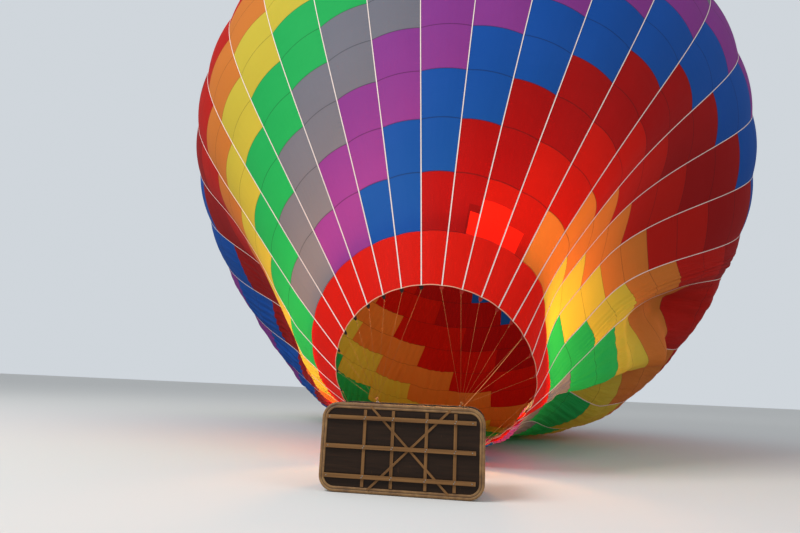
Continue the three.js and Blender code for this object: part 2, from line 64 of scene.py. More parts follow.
def addCamera():
    turn, tilt, roll = (math.radians(cameraSetup[key]) for key in ("turn", "tilt", "roll"))
    level = Vector((-math.sin(turn), math.cos(turn), 0))
    side = Vector((math.cos(turn), math.sin(turn), 0))
    up = Vector((0, 0, 1))
    forward = level * math.cos(tilt) + up * math.sin(tilt)
    above = up * math.cos(tilt) - level * math.sin(tilt)
    right = side * math.cos(roll) + above * math.sin(roll)
    top = above * math.cos(roll) - side * math.sin(roll)
    data = bpy.data.cameras.new("photoCamera")
    data.sensor_width = cameraSetup["sensorWidth"]
    data.lens = cameraSetup["focalPixels"] / cameraSetup["photoWidth"] * cameraSetup["sensorWidth"]
    data.clip_end = 2000
    camera = bpy.data.objects.new("photoCamera", data)
    bpy.context.scene.collection.objects.link(camera)
    camera.matrix_world = placedAlong(right, top, -forward, cameraSetup["at"])
    bpy.context.scene.camera = camera


addCamera()

# Parts: each is a list of points with a list of faces


def joinParts(parts):
    points, faces = [], []
    for partPoints, partFaces in parts:
        start = len(points)
        points.extend(partPoints)
        faces.extend(tuple(i + start for i in face) for face in partFaces)
    return points, faces


def movedPart(part, matrix):
    points, faces = part
    return [matrix @ Vector(p) for p in points], faces


# Faces between rings of points that follow one another, with a cap at each open end.
def ringFaces(count, sides, closed=False, flip=False):
    faces = []
    for k in range(count if closed else count - 1):
        a, b = k * sides, (k + 1) % count * sides
        for s in range(sides):
            t = (s + 1) % sides
            faces.append((a + s, b + s, b + t, a + t) if flip else (a + s, a + t, b + t, b + s))
    if not closed:
        first, last = tuple(range(sides)), tuple(range((count - 1) * sides, count * sides))
        faces += [first, last[::-1]] if flip else [first[::-1], last]
    return faces


# Points round a circle or an oval, from its middle and its two half widths.
def roundPoints(middle, first, second, count, start=0.0):
    turns = (math.tau * (k + start) / count for k in range(count))
    return [middle + first * math.cos(turn) + second * math.sin(turn) for turn in turns]


# A round tube along a path, with one radius or one for each point.
def tubePart(path, radius, sides, closed=False, up=None):
    count = len(path)
    radii = radius if isinstance(radius, list) else [radius] * count
    points, normal = [], up
    for k, at in enumerate(path):
        ahead = path[(k + 1) % count] if closed or k < count - 1 else at
        behind = path[k - 1] if closed or k > 0 else at
        way = (ahead - behind).normalized()
        normal = way.orthogonal() if normal is None else normal
        normal = (normal - way * normal.dot(way)).normalized()
        points += roundPoints(at, normal * radii[k], way.cross(normal) * radii[k], sides, 0.5)
    return points, ringFaces(count, sides, closed)


# A turned shape around the Y axis, from pairs of radius and height.
def turnedPart(outline, sides=32, closed=False):
    points = []
    for radius, height in outline:
        points += roundPoints(Vector((0, height, 0)), Vector((radius, 0, 0)), Vector((0, 0, radius)), sides)
    return points, ringFaces(len(outline), sides, closed, flip=True)


def blockPart(size, at=(0, 0, 0)):
    half = Vector(size) / 2
    signs = [(x, y, z) for x in (-1, 1) for y in (-1, 1) for z in (-1, 1)]
    points = [Vector(at) + Vector((x * half.x, y * half.y, z * half.z)) for x, y, z in signs]
    faces = [(0, 1, 3, 2), (4, 6, 7, 5), (0, 4, 5, 1), (2, 3, 7, 6), (0, 2, 6, 4), (1, 5, 7, 3)]
    return points, faces


# A mesh from a part, with a material for each face, a uv for each corner and an angle of sharp edges.
def meshPiece(name, part, materials, faceMaterials=None, cornerUvs=None, smooth=True, sharp=None):
    points, faces = part
    mesh = bpy.data.meshes.new(name)
    mesh.from_pydata([tuple(p) for p in points], [], [tuple(f) for f in faces])
    for material in materials:
        mesh.materials.append(material)
    if faceMaterials is not None:
        mesh.polygons.foreach_set("material_index", np.asarray(faceMaterials, np.int32))
    if cornerUvs is not None:
        layer = mesh.uv_layers.new(name="clothUv")
        layer.data.foreach_set("uv", np.asarray(cornerUvs, np.float32).ravel())
    mesh.polygons.foreach_set("use_smooth", np.full(len(mesh.polygons), smooth))
    mesh.update()
    if sharp is not None:
        mesh.set_sharp_from_angle(angle=math.radians(sharp))
    piece = bpy.data.objects.new(name, mesh)
    bpy.context.scene.collection.objects.link(piece)
    return piece


# A piece that rides on a body and stands for some of the frame's nodes.
def addPiece(name, part, materials, body, slot, *nodes, **look):
    piece = meshPiece(name, part, materials, **look)
    if nodes:
        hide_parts(*nodes)
    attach(piece, body)
    return piece


# Rounds the hard edges of a piece that is made of blocks.
def softenEdges(piece, width, segments=2):
    bevel = piece.modifiers.new("softEdges", "BEVEL")
    bevel.width = width
    bevel.segments = segments
    bevel.limit_method = "ANGLE"
    bevel.angle_limit = math.radians(40)


socketNames = {
    "colour": "Base Color", "roughness": "Roughness", "metallic": "Metallic", "normal": "Normal",
    "specular": "Specular IOR Level", "coat": "Coat Weight",
}


# A new material with its principled shader and a short way to add and link nodes.
class NodeBench:
    def __init__(self, name):
        self.material = bpy.data.materials.new(name)
        self.material.use_nodes = True
        self.tree = self.material.node_tree
        self.shader = self.tree.nodes["Principled BSDF"]

    def put(self, value, socket):
        if isinstance(value, bpy.types.NodeSocket):
            self.tree.links.new(value, socket)
        else:
            socket.default_value = (*value, 1) if socket.type == "RGBA" else value

    def add(self, kind, inputs=None, **settings):
        node = self.tree.nodes.new(kind)
        for key, value in settings.items():
            setattr(node, key, value)
        for key, value in (inputs or {}).items():
            self.put(value, node.inputs[key])
        return node

    def math(self, operation, first, second=0.0, clamp=False):
        node = self.add("ShaderNodeMath", {0: first, 1: second}, operation=operation, use_clamp=clamp)
        return node.outputs[0]

    def times(self, first, second, clamp=False):
        return self.math("MULTIPLY", first, second, clamp)

    def plus(self, first, second):
        return self.math("ADD", first, second)

    def mixColour(self, share, first, second):
        return self.add("ShaderNodeMix", {0: share, 6: first, 7: second}, data_type="RGBA").outputs[2]

    def place(self):
        return self.add("ShaderNodeTexCoord").outputs["Object"]

    def noise(self, scale, detail=3.0, roughness=0.55, vector=None, stretch=None):
        if vector is None:
            vector = self.place()
        if stretch is not None:
            vector = self.add("ShaderNodeMapping", {"Vector": vector, "Scale": stretch}).outputs[0]
        inputs = {"Vector": vector, "Scale": scale, "Detail": detail, "Roughness": roughness}
        return self.add("ShaderNodeTexNoise", inputs).outputs["Fac"]

    def ramp(self, value, stops):
        node = self.add("ShaderNodeValToRGB", {0: value})
        elements = node.color_ramp.elements
        while len(elements) < len(stops):
            elements.new(0.5)
        for element, (place, colour) in zip(elements, stops):
            element.position = place
            element.color = (*colour, 1)
        return node.outputs[0]

    def bump(self, height, strength, distance):
        inputs = {"Height": height, "Strength": strength, "Distance": distance}
        return self.add("ShaderNodeBump", inputs).outputs[0]

    def finish(self, **values):
        for key, value in values.items():
            self.put(value, self.shader.inputs[socketNames[key]])
        return self.material


# Envelope

envelopeShape = {
    "gores": 32,
    "goresPerGroup": 4,
    "goreWide": 2.16,
    "mouthRadius": 1.9,
    "coneAngle": 38.5,
    "sideTurn": 0.0010219,  # per cubic metre
    "slackHeight": 3.4,
    "axisRise": 35.6,
    "crownRingRadius": 0.16,
    "ringStep": 0.02,
    "bandDepth": 1.15,
    "rowDepth": 1.39,
    "rows": 20,
    "bulge": 0.04,  # of a gore's width
    "bulgeEnds": (3.4, 3.9),  # from the middle of the crown
    "columns": 26,  # faces across a gore
    "stepsPerRow": 8,
}

# How the half-filled cloth differs from a round balloon. Each fold has its centre at an angle from
# the top, growing towards +X, and a reach to both sides, in degrees. It comes and goes between
# distances from the mouth. It sinks in by a share of the radius and turns the cloth by some degrees.
bigFolds = {
    "rightHollow": {"centre": 89, "reach": 21, "comes": (0, 3), "goes": (6, 14.5), "sink": 0.26, "turn": -2},
    "rightDrawnUp": {
        "centre": 70, "reach": 17, "comes": (0, 2.5), "goes": (3, 14.5), "sink": 0.06, "turn": -6},
    "rightMouthDroop": {
        "centre": 100, "reach": 21, "comes": (-1, 0), "goes": (0, 6), "sink": -0.05, "turn": 7},
    "leftMouthDroop": {
        "centre": 261, "reach": 24, "comes": (-1, 0), "goes": (0, 7), "sink": -0.02, "turn": -8.5},
    "leftHollow": {"centre": 258, "reach": 22, "comes": (2, 8.5), "goes": (9, 16), "sink": 0.22, "turn": 0},
    "leftBunched": {"centre": 242, "reach": 24, "comes": (3, 7), "goes": (8, 17), "sink": 0, "turn": -12},
    "bottomDrawnLeft": {
        "centre": 165, "reach": 50, "comes": (1, 4), "goes": (17, 27), "sink": -0.03, "turn": 9},
    "pouchCrease": {"centre": 106, "reach": 6, "comes": (2, 6.5), "goes": (11, 18), "sink": 0.01, "turn": -5},
    "pouch": {"centre": 131, "reach": 14, "comes": (4, 8), "goes": (11, 16), "sink": -0.035, "turn": 3},
    "pouchHollow": {"centre": 118, "reach": 9, "comes": (1.5, 6), "goes": (8, 13), "sink": 0.15, "turn": 0},
    "pouchBag": {"centre": 115, "reach": 4.4, "comes": (2, 5), "goes": (9, 11), "sink": -0.18, "turn": 3},
    "pouchRecess": {"centre": 110.5, "reach": 3, "comes": (6, 9), "goes": (10, 13), "sink": 0.14, "turn": 0},
    "pouchTuck": {"centre": 121, "reach": 4.2, "comes": (2, 5), "goes": (9, 13), "sink": 0.06, "turn": -3},
    "underBag": {
        "centre": 130, "reach": 11, "comes": (0.3, 2.5), "goes": (5.5, 9), "sink": 0.165, "turn": -2},
    "slackUnderside": {"centre": 150, "reach": 24, "comes": (2, 6), "goes": (7, 12), "sink": 0.07, "turn": 4},
}

# The lowest cloth lies flat just above the ground, and bends into that over a soft height.
groundRest = {"gap": 0.08, "soft": 0.25, "puffGap": 0.02, "puffSoft": 0.05}

goreCount = envelopeShape["gores"]
goreAngle = math.tau / goreCount
bandDepth, rowDepth = envelopeShape["bandDepth"], envelopeShape["rowDepth"]
ventEdge = bandDepth + envelopeShape["rows"] * rowDepth
rise = math.radians(envelopeShape["axisRise"])
axisWay = np.array([0, math.cos(rise), math.sin(rise)])
topWay = np.array([0, -math.sin(rise), math.cos(rise)])
sideWay = np.array([1.0, 0, 0])


# The distance, radius, height and slope of each ring of cloth from the mouth on, as in the solids.
def envelopeRings():
    step = envelopeShape["ringStep"]
    along, radius, height = 0.0, envelopeShape["mouthRadius"], 0.0
    slope = math.radians(envelopeShape["coneAngle"])
    turn, slack = envelopeShape["sideTurn"], envelopeShape["slackHeight"]
    rows = [(along, radius, height, slope)]
    while radius > envelopeShape["crownRingRadius"]:
        bend = slope - turn * (height - slack) * radius * step / 2
        midHeight = height + math.cos(bend) * step / 2
        midRadius = radius + math.sin(bend) * step / 2
        slope -= turn * (midHeight - slack) * midRadius * step
        along += step
        radius += math.sin(bend) * step
        height += math.cos(bend) * step
        rows.append((along, radius, height, slope))
    table = np.array(rows)
    table[:, 2] -= table[table[:, 1].argmax(), 2]
    return table


rings = envelopeRings()
wholeLength = rings[-1, 0]
mouthHeight, crownHeight = rings[0, 2], rings[-1, 2]
ringColumns = {"radius": 1, "height": 2, "slope": 3}


def ringAt(along, name):
    return np.interp(along, rings[:, 0], rings[:, ringColumns[name]])


def smoothStep(low, high, value):
    share = np.clip((value - low) / (high - low), 0, 1)
    return share * share * (3 - 2 * share)


def bell(off, reach):
    return np.exp(-(off / reach) ** 2)


def degreesFrom(centre, angle):
    return (np.degrees(angle) - centre + 180) % 360 - 180


# Grows between two distances from the middle of the crown.
def fromCrown(ends, along):
    return smoothStep(wholeLength - ends[0], wholeLength - ends[1], along)


# A gore bulges between its two tapes.
def bulgeAt(angle):
    share = (angle / goreAngle + 0.5) % 1.0
    return 4 * share * (1 - share)


def foldedAt(angle, along):
    sink, turn = np.zeros(np.broadcast(angle, along).shape), np.zeros(np.broadcast(angle, along).shape)
    for fold in bigFolds.values():
        start, end = fold["comes"]
        come = np.clip((along - start) / (end - start), 0, 1)
        weight = bell(degreesFrom(fold["centre"], angle), fold["reach"]) * come * (2 - come)
        weight = weight * (1 - smoothStep(*fold["goes"], along))
        sink += fold["sink"] * weight
        turn += fold["turn"] * weight
    return sink, angle + np.radians(turn)


def restOnGround(points, gap, soft):
    above = points[..., 2] - groundHeight - gap - soft
    points[..., 2] += np.where(above < 0, soft * np.exp(np.minimum(above, 0) / soft) - soft - above, 0)
    return points


# A point of the big shape, without the small folds and the puff between the tapes.
def smoothPoint(angle, along):
    sink, turned = foldedAt(angle, along)
    across = ringAt(along, "radius") * (1 - sink)
    sideways = (across * np.sin(turned))[..., None] * sideWay
    upward = (across * np.cos(turned))[..., None] * topWay
    points = sideways + upward + ringAt(along, "height")[..., None] * axisWay
    return restOnGround(points, groundRest["gap"], groundRest["soft"])


def outwardAt(angle, along):
    turn, step = 0.004, 0.02
    across = smoothPoint(angle + turn, along) - smoothPoint(angle - turn, along)
    start = np.clip(along, 2 * step, wholeLength - 3 * step)
    up = smoothPoint(angle, start + step) - smoothPoint(angle, start - step)
    outward = np.cross(across, up)
    return outward / np.linalg.norm(outward, axis=-1, keepdims=True)


wrinkleShape = {
    "step": 0.35,  # between the places where spare cloth is measured
    "cuts": 8,  # across each gore there
    "mostSpare": 0.5,
    "folds": 3,  # across a gore
    "foldShare": 0.5,
    "creases": 6,
    "creaseShare": 0.9,
    "depth": 0.85,
    "lowFrom": (96, 108),  # degrees from the top
    "looseFrom": (92, 120),
    "looseEnds": (11, 18),  # metres from the mouth
    "loose": 0.014,
    "flank": 246,  # the bunched left flank, where wrinkles are finer
    "flankReach": 16,
    "flankFlatter": 0.65,
    "flankEnds": (10, 17),
    "flankLoose": 0.018,
    "start": (0.1, 1.6),
    "tapeRise": 5,
}


# The share of each gore's width that is to spare, where its tapes lie nearer than the cloth is wide.
def spareCloth():
    gores = np.arange(goreCount)[:, None, None]
    alongs = np.arange(0, wholeLength, wrinkleShape["step"])
    cuts = np.linspace(-0.5, 0.5, wrinkleShape["cuts"] + 1)
    points = smoothPoint((gores + cuts) * goreAngle, alongs[None, :, None])
    across = np.linalg.norm(np.diff(points, axis=2), axis=-1).sum(2)
    return np.clip(ringAt(alongs, "radius") * goreAngle / across - 1, 0, wrinkleShape["mostSpare"])


spare = spareCloth()


def spareAt(angle, along):
    gore = (angle / goreAngle) % goreCount
    row = np.clip(along / wrinkleShape["step"], 0, spare.shape[1] - 1.001)
    left, low = gore.astype(int), row.astype(int)
    side, high = gore - left, row - low
    right = (left + 1) % goreCount
    near = spare[left, low] * (1 - high) + spare[left, low + 1] * high
    far = spare[right, low] * (1 - high) + spare[right, low + 1] * high
    return near * (1 - side) + far * side


# Lengthwise wrinkles take up the spare cloth between two low tapes, and a little slack hangs there.
# Each gore's waves start at another place, so that no two gores look alike.
def wrinkleAt(angle, along, share):
    w = wrinkleShape
    gore = np.floor(angle / goreAngle + 0.5) % goreCount
    wander = 0.5 * np.sin(along * 0.8 + gore * 1.7) + 0.3 * np.sin(along * 1.9 + gore * 2.9)
    fold = np.sin(math.tau * w["folds"] * share + wander * 1.6 + gore * 2.3)
    crease = 1 - 2 * np.abs(np.sin(math.pi * w["creases"] * share - wander + gore * 1.1))
    cross = np.sin(along * 3.1 + angle * 23) * np.sin(along * 1.7 - angle * 9)
    fromTop = np.abs(degreesFrom(0, angle))
    flank = bell(degreesFrom(w["flank"], angle), w["flankReach"])
    width = ringAt(along, "radius") * goreAngle
    depth = width / w["creases"] / math.pi * np.sqrt(spareAt(angle, along)) * w["depth"]
    depth = depth * smoothStep(*w["lowFrom"], fromTop) * (1 - w["flankFlatter"] * flank)
    loose = w["loose"] * smoothStep(*w["looseFrom"], fromTop) * (1 - smoothStep(*w["looseEnds"], along))
    loose = loose + w["flankLoose"] * flank * (1 - smoothStep(*w["flankEnds"], along))
    wrinkle = depth * (w["foldShare"] * fold + w["creaseShare"] * crease) + loose * (crease + cross)
    nearTape = np.clip(np.minimum(share, 1 - share) * w["tapeRise"], 0, 1)
    return nearTape * smoothStep(*w["start"], along) * wrinkle


# A point of the cloth. Angle 0 is the top, growing towards +X; lift goes outwards.
def clothPoint(angle, along, lift=0.0, puffed=True):
    angle, along = np.broadcast_arrays(np.asarray(angle, float), np.asarray(along, float))
    out = np.zeros(angle.shape) + lift
    if puffed:
        width = ringAt(along, "radius") * goreAngle
        puff = envelopeShape["bulge"] * width * bulgeAt(angle) * fromCrown(envelopeShape["bulgeEnds"], along)
        out = out + puff - wrinkleAt(angle, along, (angle / goreAngle + 0.5) % 1.0)
    points = smoothPoint(angle, along) + outwardAt(angle, along) * out[..., None]
    return restOnGround(points, groundRest["puffGap"], groundRest["puffSoft"])


def tapeAngle(tape):
    return (tape - 0.5) * goreAngle


# Cloth

clothColours = [
    ("darkRed", (0.33, 0.003, 0.003)),
    ("blue", (0.006, 0.085, 0.42)),
    ("purple", (0.24, 0.045, 0.31)),
    ("grey", (0.17, 0.19, 0.24)),
    ("green", (0.014, 0.45, 0.105)),
    ("yellow", (0.60, 0.52, 0.05)),
    ("orange", (0.62, 0.20, 0.03)),
    ("red", (0.48, 0.007, 0.002)),
    ("patchRed", (1.0, 0.014, 0.003)),
    ("patchEdgeShadow", (0.24, 0.002, 0.002)),
    ("bandRed", (0.57, 0.009, 0.003)),
]
colourCount = 8

# A sewn patch of brighter cloth stands on the mouth band: a whole gore, and part of the one on each side.
# The darker red along the patch's frame on the left is painted shadow.
patchShape = {
    "gore": 2, "steps": 5,
    "leftSteps": 4, "leftFrom": 0.56, "leftShadowTo": 0.67,
    "rightSteps": 3, "rightTo": 0.62,
}

clothFinish = {
    "through": 0.36,  # share of light that passes the cloth
    "seamWidth": 0.011,  # of a row
    "seamInk": (0.01, 0.01, 0.012),
    "seamShare": 0.45,
    "roughness": 0.62,
    "bumpHeight": 0.035,
    "slackFrom": 0.6,  # metres above the envelope's axis
    "slackLines": 3.4,
    "tautLines": 0.3,
}


# Coated balloon cloth: faint fading, a dark seam at each row's edge, puckers beside the tapes.
def balloonCloth(name, colour):
    bench, look = NodeBench(name), clothFinish
    uv = bench.add("ShaderNodeUVMap", uv_map="clothUv").outputs[0]
    across, along = bench.add("ShaderNodeSeparateXYZ", {0: uv}).outputs[:2]
    seam = bench.math("LESS_THAN", bench.math("PINGPONG", along, 0.5), look["seamWidth"])
    toTape = bench.math("PINGPONG", across, 0.5)
    nearTape = bench.math("POWER", bench.math("SUBTRACT", 1.0, bench.times(toTape, 2.0)), 5.0)
    deep = tuple(0.82 * c for c in colour)
    pale = tuple(0.98 * c + 0.006 for c in colour)
    faded = bench.mixColour(bench.noise(0.35, 4.0, 0.6), deep, pale)
    seamed = bench.mixColour(bench.times(seam, look["seamShare"]), faded, look["seamInk"])
    puckers = bench.noise(1.0, 2.0, 0.5, vector=uv, stretch=(2.2, 17.0, 1.0))
    height = bench.plus(bench.times(puckers, nearTape), bench.times(bench.noise(2.6, 4.0), 0.35))
    # The lower half hangs slack, so it shows more lengthwise lines.
    dot = bench.add("ShaderNodeVectorMath", {0: bench.place(), 1: tuple(topWay)}, operation="DOT_PRODUCT")
    slack = bench.times(bench.plus(dot.outputs["Value"], look["slackFrom"]), -0.9, clamp=True)
    lines = bench.plus(bench.times(slack, look["slackLines"]), look["tautLines"])
    lengthwise = bench.noise(1.0, 3.0, 0.5, vector=uv, stretch=(9.0, 0.8, 1.0))
    height = bench.plus(height, bench.times(lengthwise, lines))
    height = bench.plus(height, bench.times(seam, -0.25))
    normal = bench.bump(height, 0.55, look["bumpHeight"])
    bench.finish(colour=seamed, roughness=look["roughness"], normal=normal, specular=0.05)
    through = bench.add("ShaderNodeBsdfTranslucent", {"Color": seamed, "Normal": normal}).outputs[0]
    shaders = {0: look["through"], 1: bench.shader.outputs[0], 2: through}
    mixed = bench.add("ShaderNodeMixShader", shaders).outputs[0]
    bench.put(mixed, bench.tree.nodes["Material Output"].inputs[0])
    return bench.material


clothMaterials = [balloonCloth("cloth_" + name, colour) for name, colour in clothColours]


# Each gore steps the colours on by one row, and each colour is two rows deep.
def colourOf(gore, row):
    return (row - gore + 1) // 2 % colourCount


def patchColour(gore, share, step, colour):
    s = patchShape
    # edge is the darker red of that frame: painted shadow.
    bright, edge = colourCount, colourCount + 1
    colour = np.where((gore == s["gore"]) & (step < s["steps"]), bright, colour)
    left = (gore == s["gore"] - 1) & (share > s["leftFrom"]) & (step < s["leftSteps"])
    shadowFramed = (share < s["leftShadowTo"]) | (step == s["leftSteps"] - 1)
    colour = np.where(left, np.where(shadowFramed, edge, bright), colour)
    right = (gore == s["gore"] + 1) & (share < s["rightTo"]) & (step < s["rightSteps"])
    return np.where(right, bright, colour)


# A part from a grid of points, with each face's column and step. A closed grid joins up round the mouth.
def gridPart(points, closed=False):
    wide, high = points.shape[:2]
    columns = np.arange(wide if closed else wide - 1)
    i, j = (a.ravel() for a in np.meshgrid(columns, np.arange(high - 1), indexing="ij"))
    faces = np.stack([i * high + j, (i + 1) * high + j, (i + 1) * high + j + 1, i * high + j + 1], -1)
    return points.reshape(-1, 3), faces % (wide * high), i, j


# The uv of each face's corners: gores across and rows along.
def cornerUvs(i, j, across, along):
    corners = ((0, 0), (1, 0), (1, 1), (0, 1))
    return np.stack([np.stack([across[i + di], along[j + dj]], -1) for di, dj in corners], 1)


def addGores(group):
    per, wide, perRow = (envelopeShape[key] for key in ("goresPerGroup", "columns", "stepsPerRow"))
    first, columns, steps = group * per, per * wide, envelopeShape["rows"] * perRow
    angles = tapeAngle(first + np.arange(columns + 1) / wide)
    alongs = np.linspace(bandDepth, ventEdge, steps + 1)
    points, faces, i, j = gridPart(clothPoint(angles[:, None], alongs))
    gore = first + i // wide
    colours = patchColour(gore, (i % wide + 0.5) / wide, j, colourOf(gore, j // perRow))
    uvs = cornerUvs(i, j, np.arange(columns + 1) / wide, np.arange(steps + 1) / perRow)
    piece = addPiece(f"goreCloth{group + 1}", (points, faces), clothMaterials, "balloon", "envelope_cloth",
                     f"gores_{group + 1}", faceMaterials=colours, cornerUvs=uvs)


for group in range(goreCount // envelopeShape["goresPerGroup"]):
    addGores(group)

bandShape = {"columns": 10, "steps": 8, "flat": (16.6, 1.16)}


def addMouthBand():
    wide, steps = bandShape["columns"], bandShape["steps"]
    angles = tapeAngle(np.arange(goreCount * wide) / wide)
    alongs = np.linspace(0, bandDepth, steps + 1)
    points, faces, i, j = gridPart(clothPoint(angles[:, None], alongs), closed=True)
    uvs = cornerUvs(i, j, np.arange(goreCount * wide + 1) / wide, np.linspace(0.02, 0.98, steps + 1))
    piece = addPiece("mouthBandCloth", (points, faces), [clothMaterials[-1]], "balloon", "mouth_cloth",
                     "mouth_band", cornerUvs=uvs)


addMouthBand()
print("envelope cloth made")

# Tapes, crown and mouth

tapeShape = {"halfWide": 0.0115, "base": 0.002, "top": 0.007, "edgeRise": 0.0045, "step": 0.17}


def plainCloth(name, colour, scale=60.0):
    bench = NodeBench(name)
    weave = bench.noise(scale, 3.0, 0.6)
    tone = bench.mixColour(bench.noise(1.7, 4.0, 0.6), tuple(0.72 * c for c in colour), colour)
    return bench.finish(colour=tone, roughness=0.7, normal=bench.bump(weave, 0.4, 0.002), specular=0.1)


# The white tape is painted a darker pink, standing in for warm dusk light on it.
tapeWhiteDuskTint = plainCloth("tapeWhiteDuskTint", (0.80, 0.67, 0.61))
hemPink = plainCloth("hemPink", (0.72, 0.34, 0.22))
tabDark = plainCloth("tabDark", (0.012, 0.008, 0.007))
tabRed = plainCloth("tabRed", (0.30, 0.02, 0.012))


# A strip lying on the cloth along a line of angles and distances. Its edges can stand higher than
# its middle, as the cloth does on both sides of a tape.
def stripPart(angles, alongs, shape, closed=False):
    low, high = clothPoint(angles, alongs, shape["base"]), clothPoint(angles, alongs, shape["top"])
    ahead = np.roll(low, -1, 0) - np.roll(low, 1, 0)
    if not closed:
        ahead[0], ahead[-1] = low[1] - low[0], low[-1] - low[-2]
    out = high - low
    side = np.cross(ahead, out)
    wide = side / np.linalg.norm(side, axis=1)[:, None] * shape["halfWide"]
    lift = out / np.linalg.norm(out, axis=1)[:, None] * shape.get("edgeRise", 0)
    corners = [low + lift - wide, low, low + lift + wide, high + lift + wide, high, high + lift - wide]
    return np.stack(corners, 1).reshape(-1, 3), ringFaces(len(low), len(corners), closed)


def addTapes():
    alongs = np.linspace(0.0, wholeLength - 0.02, int(wholeLength / tapeShape["step"]))
    tapes = [stripPart(np.full(len(alongs), tapeAngle(tape)), alongs, tapeShape) for tape in range(goreCount)]
    addPiece("loadTapes", joinParts(tapes), [tapeWhiteDuskTint], "balloon", "tape_white", "crown_ring", smooth=False)


addTapes()

hemShape = {
    "mouthHem": {"along": 0.008, "halfWide": 0.008, "base": -0.005, "top": 0.005, "cloth": hemPink},
    "crownHem": {
        "along": ventEdge - 0.03, "halfWide": 0.028, "base": -0.004, "top": 0.006, "cloth": tapeWhiteDuskTint},
}


def addHems():
    angles = tapeAngle(np.arange(goreCount * 10) / 10)
    for name, hem in hemShape.items():
        part = stripPart(angles, np.full(len(angles), hem["along"]), hem, closed=True)
        addPiece(name, part, [hem["cloth"]], "balloon", "tape_white", smooth=False)


addHems()

ventShape = {
    "overlap": 0.26, "drop": 0.045, "columns": 10, "steps": 20, "flat": (7.6, 7.6),
    "puff": 0.02, "puffEnds": (0.1, 1.6),  # from the middle of the crown
}


# The vent panel lies under the crown opening's edge, in the same colour steps as the gores.
def addVentPanel():
    wide, steps, drop = ventShape["columns"], ventShape["steps"], ventShape["drop"]
    columns = wide * goreCount
    angles = tapeAngle(np.arange(columns) / wide)[:, None]
    alongs = np.linspace(ventEdge - ventShape["overlap"], wholeLength, steps + 1)
    puff = ventShape["puff"] * bulgeAt(angles) * fromCrown(ventShape["puffEnds"], alongs)
    inward = drop * np.cos(ringAt(alongs, "slope"))
    points = clothPoint(angles, alongs, puff, puffed=False) - axisWay * drop
    points = points - (inward * np.sin(angles))[..., None] * sideWay
    points = points - (inward * np.cos(angles))[..., None] * topWay
    points, faces, i, j = gridPart(points, closed=True)
    rowPlace = (alongs - bandDepth) / rowDepth
    rows = np.floor((alongs[j] + 0.01 - bandDepth) / rowDepth).astype(int)
    uvs = cornerUvs(i, j, np.arange(columns + 1) / wide, rowPlace).reshape(-1, 2)
    # Triangles to one middle point close the panel under the crown ring.
    inner = np.arange(columns) * (steps + 1) + steps
    cap = np.stack([inner, np.roll(inner, -1), np.full(columns, len(points))], -1)
    part = ([*points, axisWay * (crownHeight - drop)], [*faces, *cap])
    piece = addPiece("ventCloth", part, clothMaterials, "vent", "vent_cloth", "vent_panel",
                     faceMaterials=[*colourOf(i // wide, rows), *[0] * columns],
                     cornerUvs=[*uvs, *[(0.5, rowPlace[-1])] * (3 * columns)])


addVentPanel()
print("tapes and crown made")

# Metals and the crown ring


def brushedMetal(name, colour, roughness=0.32, dirt=0.35):
    bench = NodeBench(name)
    streaks = bench.noise(40.0, 4.0, 0.6, stretch=(1, 0.15, 1))
    grime = bench.times(bench.noise(6.0, 5.0, 0.65), dirt)
    tone = bench.mixColour(grime, colour, tuple(0.45 * c for c in colour))
    rough = bench.plus(bench.times(streaks, 0.25), roughness - 0.1)
    return bench.finish(colour=tone, roughness=rough, metallic=1.0, normal=bench.bump(streaks, 0.15, 0.001))


frameSteel = brushedMetal("frameSteel", (0.56, 0.57, 0.58))
wireSteel = brushedMetal("wireSteel", (0.50, 0.22, 0.08), 0.5, 0.2)
canSteel = brushedMetal("canSteel", (0.62, 0.60, 0.57), 0.28)
scorchedSteel = brushedMetal("scorchedSteel", (0.38, 0.30, 0.25), 0.45, 0.7)
valveBrass = brushedMetal("valveBrass", (0.72, 0.52, 0.20), 0.3)
tankSteel = brushedMetal("tankSteel", (0.66, 0.67, 0.68), 0.3)
boltSteel = brushedMetal("boltSteel", (0.30, 0.28, 0.26), 0.45, 0.6)

crownRing = {"tube": 0.009, "above": 0.012, "sides": 48}


def addCrownRing():
    tube = crownRing["tube"]
    middle = Vector((envelopeShape["crownRingRadius"], 0))
    outline = roundPoints(middle, Vector((tube, 0)), Vector((0, tube)), 10)
    place = axisWay * (crownHeight + crownRing["above"])
    basis = placedAlong(sideWay, axisWay, np.cross(sideWay, axisWay), place)
    part = movedPart(turnedPart(outline, crownRing["sides"], closed=True), basis)
    addPiece("crownRingSteel", part, [frameSteel], "balloon", "frame_steel")


addCrownRing()

# Mouth tabs and flying wires

loadFrame = {"halfX": 0.75, "halfZ": 0.5, "corner": 0.13, "tube": 0.019, "y": 2.17}
cornerSigns = [(1, 1), (-1, 1), (-1, -1), (1, -1)]


# The basket lies on its long side, so y is the distance from its floor.
def fromFloor(y):
    return Vector((0, y, 0))


def frameCorner(corner):
    signX, signZ = cornerSigns[corner]
    inset = loadFrame["corner"] * (1 - math.sqrt(0.5))
    across, upward = loadFrame["halfX"] - inset, loadFrame["halfZ"] - inset
    return basketMiddle + Vector((signX * across, loadFrame["y"], signZ * upward))


# The mouth's edge at a tape, the way down the tape's line from there, and the way along the edge.
def tabLine(tape):
    edge = Vector(clothPoint(tapeAngle(tape), 0.0, -0.005))
    angle = float(foldedAt(tapeAngle(tape), 0.0)[1])
    cone = math.radians(envelopeShape["coneAngle"])
    radial = Vector(math.sin(angle) * sideWay + math.cos(angle) * topWay)
    down = -radial * math.sin(cone) - Vector(axisWay) * math.cos(cone)
    across = Vector(math.cos(angle) * sideWay - math.sin(angle) * topWay)
    return edge, down, across


